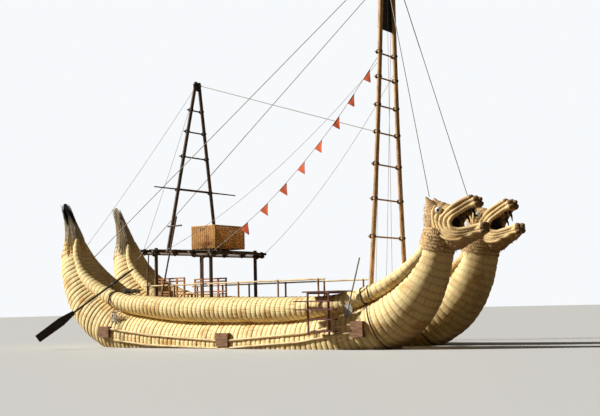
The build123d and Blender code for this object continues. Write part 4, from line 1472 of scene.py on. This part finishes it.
@dataclass
class Lashings:
    """Rope turns at every joint of the poles, and the knots where the stays are made fast.

    A reach is the half size of a turn through both poles, and square to that.
    """

    materials: Materials
    rope: float = 0.009
    rail_rope: float = 0.006
    rail_reach: tuple[float, float] = (0.038, 0.042)
    post_reach: tuple[float, float] = (0.128, 0.088)
    post_out: float = 0.06
    log_reach: tuple[float, float] = (0.110, 0.075)
    log_up: float = 0.05
    rung_aft: float = 0.026
    mast_reach: tuple[float, float] = (0.108, 0.082)
    mizzen_reach: tuple[float, float] = (0.100, 0.072)
    foot_z: float = 1.56
    stout_rope: float = 0.012
    foot_reach: tuple[float, float] = (0.20, 0.115)
    head_knots: tuple[tuple[Vector, tuple[float, float], int], ...] = (
        (Vector((-2.930, 0, 9.12)), (0.175, 0.080), 9), (Vector((-2.928, 0, 9.18)), (0.160, 0.092), 5),
    )

    def build(self) -> None:
        """Make the lashings."""
        x, y = Vector((1, 0, 0)), Vector((0, 1, 0))
        pale, dark = Strands(), Strands()
        for side in (-1, 1):
            for post_x in RAIL_POST_X:
                spot = Vector((post_x, side * RAIL_Y, RAIL_Z - 0.01))
                pale.cross_wrap(spot, x, UP, self.rail_reach, self.rail_rope, turns=3)
            for post_x in POST_X:
                spot = Vector((post_x, side * (POST_Y + self.post_out), platform_z(post_x)))
                dark.cross_wrap(spot, x, UP, self.post_reach, self.rope, turns=5)
            for log_x in CROSS_LOG_X:
                spot = Vector((log_x, side * SIDE_LOG_Y, platform_z(log_x) + self.log_up))
                dark.cross_wrap(spot, x, y, self.log_reach, self.rope, turns=4)
            for rung_z in MAST_RUNG_Z:
                spot = self.aft_of(mast_at(rung_z), side)
                dark.cross_wrap(spot, y, UP, self.mast_reach, self.rope, turns=3)
            for rung_z in MIZZEN_RUNG_Z + (YARD_Z,):
                spot = self.aft_of(mizzen_at(rung_z), side)
                dark.cross_wrap(spot, y, UP, self.mizzen_reach, self.rope, turns=3)
            foot = mast_at(self.foot_z)
            foot.y *= -side
            pale.cross_wrap(foot, y, x, self.foot_reach, self.stout_rope, turns=5)
        for centre, reach, turns in self.head_knots:
            dark.wrap(centre, UP, y, reach, turns, self.stout_rope)
        for name, strands, finish in (("pale", pale, "rope"), ("dark", dark, "dark_rope")):
            self.materials.dress(strands.piece(f"lashings_{name}", BODY, "rope"), finish)
        LOG.info("lashings built")

    def aft_of(self, leg: Vector, side: int) -> Vector:
        """Middle of a rung's lashing.

        Args:
            leg: centre of the starboard leg at the rung's height.
            side: -1 for starboard, 1 for port.

        Returns:
            The point, between the leg and the rung aft of it.
        """
        spot = leg + Vector((-self.rung_aft, 0, 0))
        spot.y *= -side
        return spot


@dataclass
class Rigging:
    """Lighter lines than the main stays, and the flag line with its pennants."""

    materials: Materials
    line_r: float = 0.007
    mizzen_top: Vector = field(default_factory=lambda: Vector((-2.93, 0.0, 9.22)))
    flag_r: float = 0.009
    flag_route: tuple[tuple[float, float, float], ...] = (
        (4.990, -0.449, 8.812), (4.240, -0.547, 7.875), (3.475, -0.648, 6.950), (2.640, -0.755, 6.090),
        (1.770, -0.869, 5.265), (0.855, -0.988, 4.490), (-0.120, -1.115, 3.795), (-1.135, -1.252, 3.160),
    )
    pennant_at: tuple[float, ...] = (0.45, 1.33, 2.17, 3.10, 3.99, 4.91, 5.85, 6.81)
    pennant_edge: float = 0.38
    pennant_drop: float = 0.43
    pennant_thick: float = 0.0016
    pennant_steps: int = 12
    sway: tuple[float, float] = (0.03, 0.05)
    ripple: float = 0.016
    ripple_along: float = 9.0
    ripple_down: float = 5.0
    ripple_fade: float = 0.4

    def build(self) -> None:
        """Make the lines."""
        self.flags()
        # Each light line's start and end, and how far it sags
        lines = (
            (mast_at(8.7), Vector((-3.23, -1.30, 3.30)), 0.55),
            (Vector((4.99, 0.53, 8.5)), Vector((-1.05, 1.30, 3.12)), 0.45),
            (Vector((5.10, 0.34, 11.6)), Vector((3.95, 1.30, 2.05)), 0.05),
            (self.mizzen_top, Vector((-7.55, -1.22, 3.55)), 0.10),
            (self.mizzen_top, Vector((-4.36, -1.32, 3.28)), 0.04),
            (Vector((5.07, -0.18, 11.5)), Vector((4.55, -0.30, 1.45)), 0.0),
            (Vector((5.09, 0.05, 11.5)), Vector((4.62, 0.55, 1.45)), 0.0),
        )
        strands = Strands()
        for start, end, sag in lines:
            strands.tube(sagging(start, end, sag), self.line_r, 6)
        self.materials.dress(strands.piece("light_lines", BODY, "rope"), "rope")
        LOG.info("rigging built")

    def flags(self) -> None:
        """Flag line, as a curve with a round section, and the pennants along it."""
        curve = bpy.data.curves.new("flag_rope", "CURVE")
        curve.dimensions = "3D"
        curve.resolution_u = 24
        spline = curve.splines.new("NURBS")
        spline.points.add(len(self.flag_route) - 1)
        for point, place in zip(spline.points, self.flag_route):
            point.co = (*place, 1.0)
        spline.order_u = 3
        spline.use_endpoint_u = True
        obj = bpy.data.objects.new("flag_rope", curve)
        bpy.context.collection.objects.link(obj)
        bpy.context.view_layer.update()
        route = [v.co.copy() for v in bpy.data.meshes.new_from_object(obj).vertices]
        curve.bevel_depth = self.flag_r
        curve.bevel_resolution = 2
        curve.use_fill_caps = True
        self.materials.dress(obj, "rope")
        LOG.info("%s rides on %s", obj.name, BODY)
        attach(obj, BODY)
        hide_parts("flag_line")
        run = run_along(route)
        for number, at in enumerate(self.pennant_at):
            self.pennant(number, route, run, at)

    def pennant(self, number: int, route: list[Vector], run: list[float], at: float) -> None:
        """One three-cornered pennant, sewn to the line by its sloping edge.

        Args:
            number: its number, from 0 at the mast.
            route: points along the line.
            run: the distance along the line at each of them.
            at: where on the line its upper corner is.
        """
        rng = random.Random(SEED * 31 + number)
        edge = [self.on_line(route, run, at + self.pennant_edge * (i / self.pennant_steps))
                for i in range(self.pennant_steps + 1)]
        corner = edge[0] + Vector((rng.uniform(-self.sway[0], self.sway[0]),
                                   rng.uniform(-self.sway[1], self.sway[1]), -self.pennant_drop))
        obj = linked("pennant", self.cloth(edge, corner, rng.uniform(0, TAU)))
        cloth = obj.modifiers.new("cloth", "SOLIDIFY")
        cloth.thickness = self.pennant_thick
        cloth.offset = 0.0
        bpy.ops.object.modifier_apply(modifier="cloth")
        bpy.ops.object.shade_smooth()
        self.materials.dress(obj, "pennant")
        piece = finished(obj, f"pennant_{number + 1}", BODY)
        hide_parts("pennants")

    def on_line(self, route: list[Vector], run: list[float], distance: float) -> Vector:
        """Point of the flag line.

        Args:
            route: points along the line.
            run: the distance along the line at each of them.
            distance: the distance along the line to read at.

        Returns:
            The point.
        """
        i = next(k for k in range(1, len(run)) if run[k] >= distance)
        return route[i - 1].lerp(route[i], (distance - run[i - 1]) / (run[i] - run[i - 1]))

    def cloth(self, edge: list[Vector], corner: Vector, phase: float) -> bpy.types.Mesh:
        """Rippled three-cornered sheet.

        Args:
            edge: evenly spaced points of its sewn edge, from its upper corner.
            corner: its free corner.
            phase: where its ripples start.

        Returns:
            The mesh.
        """
        hang = corner - edge[0]
        face = (edge[-1] - edge[0]).cross(hang).normalized()
        steps, points, faces, index = self.pennant_steps, [], [], {}
        for i in range(steps + 1):
            for j in range(steps + 1 - i):
                u, v = i / steps, j / steps
                swing = math.sin(phase + self.ripple_along * u + self.ripple_down * v)
                wave = self.ripple * v * (1 - self.ripple_fade * u) * swing
                index[i, j] = len(points)
                points.append(edge[i] + hang * v + face * wave)
        for i in range(steps):
            for j in range(steps - i):
                faces.append((index[i, j], index[i + 1, j], index[i, j + 1]))
                if j < steps - i - 1:
                    faces.append((index[i + 1, j], index[i + 1, j + 1], index[i, j + 1]))
        mesh = bpy.data.meshes.new("pennant")
        mesh.from_pydata(points, [], faces)
        return mesh


@dataclass
class Basket:
    """Woven basket on the platform: stakes, weavers that pass in and out of them and a wound rim."""

    materials: Materials
    inset: float = 0.020
    top_down: float = 0.012
    stake_gap: float = 0.098
    stake_r: float = 0.011
    stake_short: float = 0.01
    weaver_r: float = 0.0105
    weaver_pitch: float = 2.02
    weaver_low: float = 0.02
    weaver_high: float = 0.03
    weaver_parts: int = 4
    weaver_clear: float = 0.002
    grip_half: float = 0.105
    grip_down: float = 0.130
    grip_high: float = 0.036
    rim_r: float = 0.013
    rim_turn: float = 0.014
    rim_step: float = 0.012
    rim_twist: float = 0.35
    base_thick: float = 0.030
    base_up: float = 0.016
    base_short: float = 0.01

    def build(self) -> None:
        """Make the basket over its plain solid."""
        low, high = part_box("basket")
        low = low + Vector((self.inset, self.inset, 0))
        high = high - Vector((self.inset, self.inset, self.top_down))
        corners = [Vector((low.x, low.y)), Vector((high.x, low.y)), Vector((high.x, high.y)),
                   Vector((low.x, high.y))]
        sides = list(zip(corners, corners[1:] + corners[:1]))
        stakes, ways = self.stakes(sides)
        wands, weave = Strands(), Strands()
        for spot in stakes:
            wands.tube([Vector((spot.x, spot.y, low.z + self.stake_short)),
                        Vector((spot.x, spot.y, high.z - self.stake_short))], self.stake_r, 8)
        self.weavers(weave, stakes, ways, low, high)
        self.rim(weave, sides, high.z - self.top_down)
        self.base(low, high)
        self.materials.dress(wands.piece("basket_stakes", BODY, "basket"), "basket")
        piece = weave.piece("basket_weave", BODY, "basket")
        self.materials.dress(piece, "basket")
        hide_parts("basket")
        LOG.info("basket built")

    def stakes(self, sides: list[tuple[Vector, Vector]]) -> tuple[list[Vector], list[Vector]]:
        """Places of the stakes.

        Args:
            sides: the two ends of each side.

        Returns:
            The place of each stake, and the way out from it.
        """
        stakes, ways = [], []
        for a, b in sides:
            count = max(2, round((b - a).length / self.stake_gap))
            for i in range(count):
                stakes.append(a.lerp(b, i / count))
                ways.append(Vector(((b - a).y, -(b - a).x)).normalized())
        return stakes, ways

    def weavers(self, weave: Strands, stakes: list[Vector], ways: list[Vector], low: Vector,
                high: Vector) -> None:
        """Weavers one over another, with a hand hole left in each of the two sides along the boat.

        Args:
            weave: the strands that they are added to.
            stakes: the places of the stakes.
            ways: the way out from each.
            low: the basket's low corner.
            high: its high corner.
        """
        pitch = self.weaver_pitch * self.weaver_r
        middle = (low.x + high.x) / 2
        for row in range(round((high.z - low.z - self.weaver_low - self.weaver_high) / pitch)):
            z = low.z + self.weaver_low + pitch * (row + 0.5)
            open_row = abs(z - (high.z - self.grip_down)) < self.grip_high
            path = []
            for spot in self.weaver(stakes, ways, row):
                if not open_row or abs(spot.x - middle) >= self.grip_half:
                    path.append(Vector((spot.x, spot.y, z)))
                    continue
                if len(path) > 1:
                    weave.tube(path, self.weaver_r, 6)
                path = []
            if len(path) > 1:
                weave.tube(path, self.weaver_r, 6, closed=not open_row)

    def weaver(self, stakes: list[Vector], ways: list[Vector], row: int) -> list[Vector]:
        """One weaver all round, in and out of the stakes.

        Args:
            stakes: the places of the stakes.
            ways: the way out from each.
            row: its number, which says at which stakes it is outside.

        Returns:
            Points along it.
        """
        spots = []
        for i in range(len(stakes) * self.weaver_parts):
            k, part = divmod(i, self.weaver_parts)
            spot = stakes[k].lerp(stakes[(k + 1) % len(stakes)], part / self.weaver_parts)
            swing = math.cos(math.pi * (i / self.weaver_parts + row)) * (self.stake_r + self.weaver_clear)
            spots.append(spot + ways[k] * swing)
        return spots

    def rim(self, weave: Strands, sides: list[tuple[Vector, Vector]], z: float) -> None:
        """Rim of three strands wound round one another.

        Args:
            weave: the strands that they are added to.
            sides: the two ends of each side.
            z: the rim's height.
        """
        line = []
        for a, b in sides:
            steps = max(2, round((b - a).length / self.rim_step))
            line += [a.lerp(b, i / steps) for i in range(steps)]
        for strand in range(3):
            path = []
            for i, spot in enumerate(line):
                angle = i * self.rim_twist + TAU * strand / 3
                out = Vector((math.cos(angle) * self.rim_turn, math.sin(angle) * self.rim_turn))
                path.append(Vector((spot.x + out.x, spot.y + out.x, z + out.y)))
            weave.tube(path, self.rim_r, 6, closed=True)

    def base(self, low: Vector, high: Vector) -> None:
        """Flat bottom of the basket.

        Args:
            low: the basket's low corner.
            high: its high corner.
        """
        deselect()
        size, middle = high - low, (low + high) / 2
        bpy.ops.mesh.primitive_cube_add(size=1.0, location=(middle.x, middle.y, low.z + self.base_up))
        base = bpy.context.active_object
        base.scale = (size.x - self.base_short, size.y - self.base_short, self.base_thick)
        bpy.ops.object.transform_apply(location=False, rotation=False, scale=True)
        self.materials.dress(base, "basket")
        finished(base, "basket_base", BODY)


@dataclass
class Studio:
    """Camera at the photograph's place, soft light and a pale floor at the waterline."""

    azimuth: float = 37.0
    lens: float = 60.0
    sensor: float = 36.0
    pitch: float = math.atan(0.0977)
    roll: float = 1.31
    place: Vector = field(default_factory=lambda: Vector((21.036, -25.873, 1.29)))
    farthest: float = 300.0
    sun_energy: float = 6.2
    sun_width: float = 6.0
    sun_colour: Colour = (1.0, 0.96, 0.88)
    sun_from: tuple[float, float, float] = (-0.75, -0.44, 0.55)
    fill_colour: Colour = (1.0, 0.86, 0.66)
    fill_strength: float = 0.09
    sky_colour: Colour = (0.93, 0.95, 0.97)
    floor_size: float = 400.0
    floor_seen: Colour = (0.60, 0.62, 0.64)
    floor_lit: Colour = (0.12, 0.085, 0.05)

    def build(self) -> None:
        """Make the camera, the lamps, the world and the floor."""
        self.camera()
        self.sun()
        self.sky()
        self.floor()
        bpy.context.scene.view_settings.view_transform = "Standard"

    def camera(self) -> None:
        """Camera rolled as the photograph's horizon is."""
        s, c = math.sin(math.radians(self.azimuth)), math.cos(math.radians(self.azimuth))
        ahead = Vector((-s * math.cos(self.pitch), c * math.cos(self.pitch), math.sin(self.pitch)))
        level = Vector((c, s, 0))
        upright = level.cross(ahead)
        r = math.radians(self.roll)
        right = level * math.cos(r) - upright * math.sin(r)
        up = upright * math.cos(r) + level * math.sin(r)
        bpy.ops.object.camera_add()
        camera = bpy.context.active_object
        camera.data.lens = self.lens
        camera.data.sensor_width = self.sensor
        camera.data.clip_end = self.farthest
        matrix = Matrix((right, up, -ahead)).transposed().to_4x4()
        matrix.translation = self.place
        camera.matrix_world = matrix
        bpy.context.scene.camera = camera

    def sun(self) -> None:
        """Sun from aft and to starboard."""
        bpy.ops.object.light_add(type="SUN")
        sun = bpy.context.active_object
        sun.data.energy = self.sun_energy
        sun.data.angle = math.radians(self.sun_width)
        sun.data.color = self.sun_colour
        sun.rotation_euler = Vector(self.sun_from).to_track_quat("Z", "Y").to_euler()

    def sky(self) -> None:
        """Pale sky for the camera, and a warm weak fill for everything else."""
        world = bpy.data.worlds.new("sky")
        bpy.context.scene.world = world
        world.use_nodes = True
        tree = world.node_tree
        fill = tree.nodes["Background"]
        fill.inputs["Color"].default_value = (*self.fill_colour, 1.0)
        fill.inputs["Strength"].default_value = self.fill_strength
        seen = tree.nodes.new("ShaderNodeBackground")
        seen.inputs["Color"].default_value = (*self.sky_colour, 1.0)
        seen.inputs["Strength"].default_value = 1.0
        path = tree.nodes.new("ShaderNodeLightPath")
        mix = tree.nodes.new("ShaderNodeMixShader")
        tree.links.new(path.outputs["Is Camera Ray"], mix.inputs[0])
        tree.links.new(fill.outputs[0], mix.inputs[1])
        tree.links.new(seen.outputs[0], mix.inputs[2])
        tree.links.new(mix.outputs[0], tree.nodes["World Output"].inputs["Surface"])

    def floor(self) -> None:
        """Floor at the waterline, pale for the camera and darker where it lights the hulls."""
        deselect()
        bpy.ops.mesh.primitive_plane_add(size=self.floor_size, location=(0, 0, 0))
        plane = bpy.context.active_object
        plane.name = "floor"
        n = Nodes("floor")
        seen = n.add("LightPath").outputs["Is Camera Ray"]
        n.surface(n.mix(seen, self.floor_lit, self.floor_seen), 0.6)
        plane.data.materials.append(n.material)


def slot_materials(frame: dict, materials: Materials) -> None:
    """Give each CAD node that stays the material of its slot, or its own finish.

    Args:
        frame: the loaded frame.
        materials: the boat's materials.
    """
    for row in frame["record"]["subparts"]:
        name = row["node"]
        materials.dress(frame["nodes"][name], OWN_FINISH.get(name, row["material_slot"]))


def main() -> None:
    """Load the frame, build and dress the boat and set up the studio."""
    logging.basicConfig(level=logging.INFO)
    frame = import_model()
    Studio().build()
    materials = Materials().build()
    slot_materials(frame, materials)
    Hulls(materials).build()
    for side in Side:
        CatHead(side, materials).build()
    Basket(materials).build()
    Lashings(materials).build()
    Rigging(materials).build()


if __name__ == "__main__":
    main()
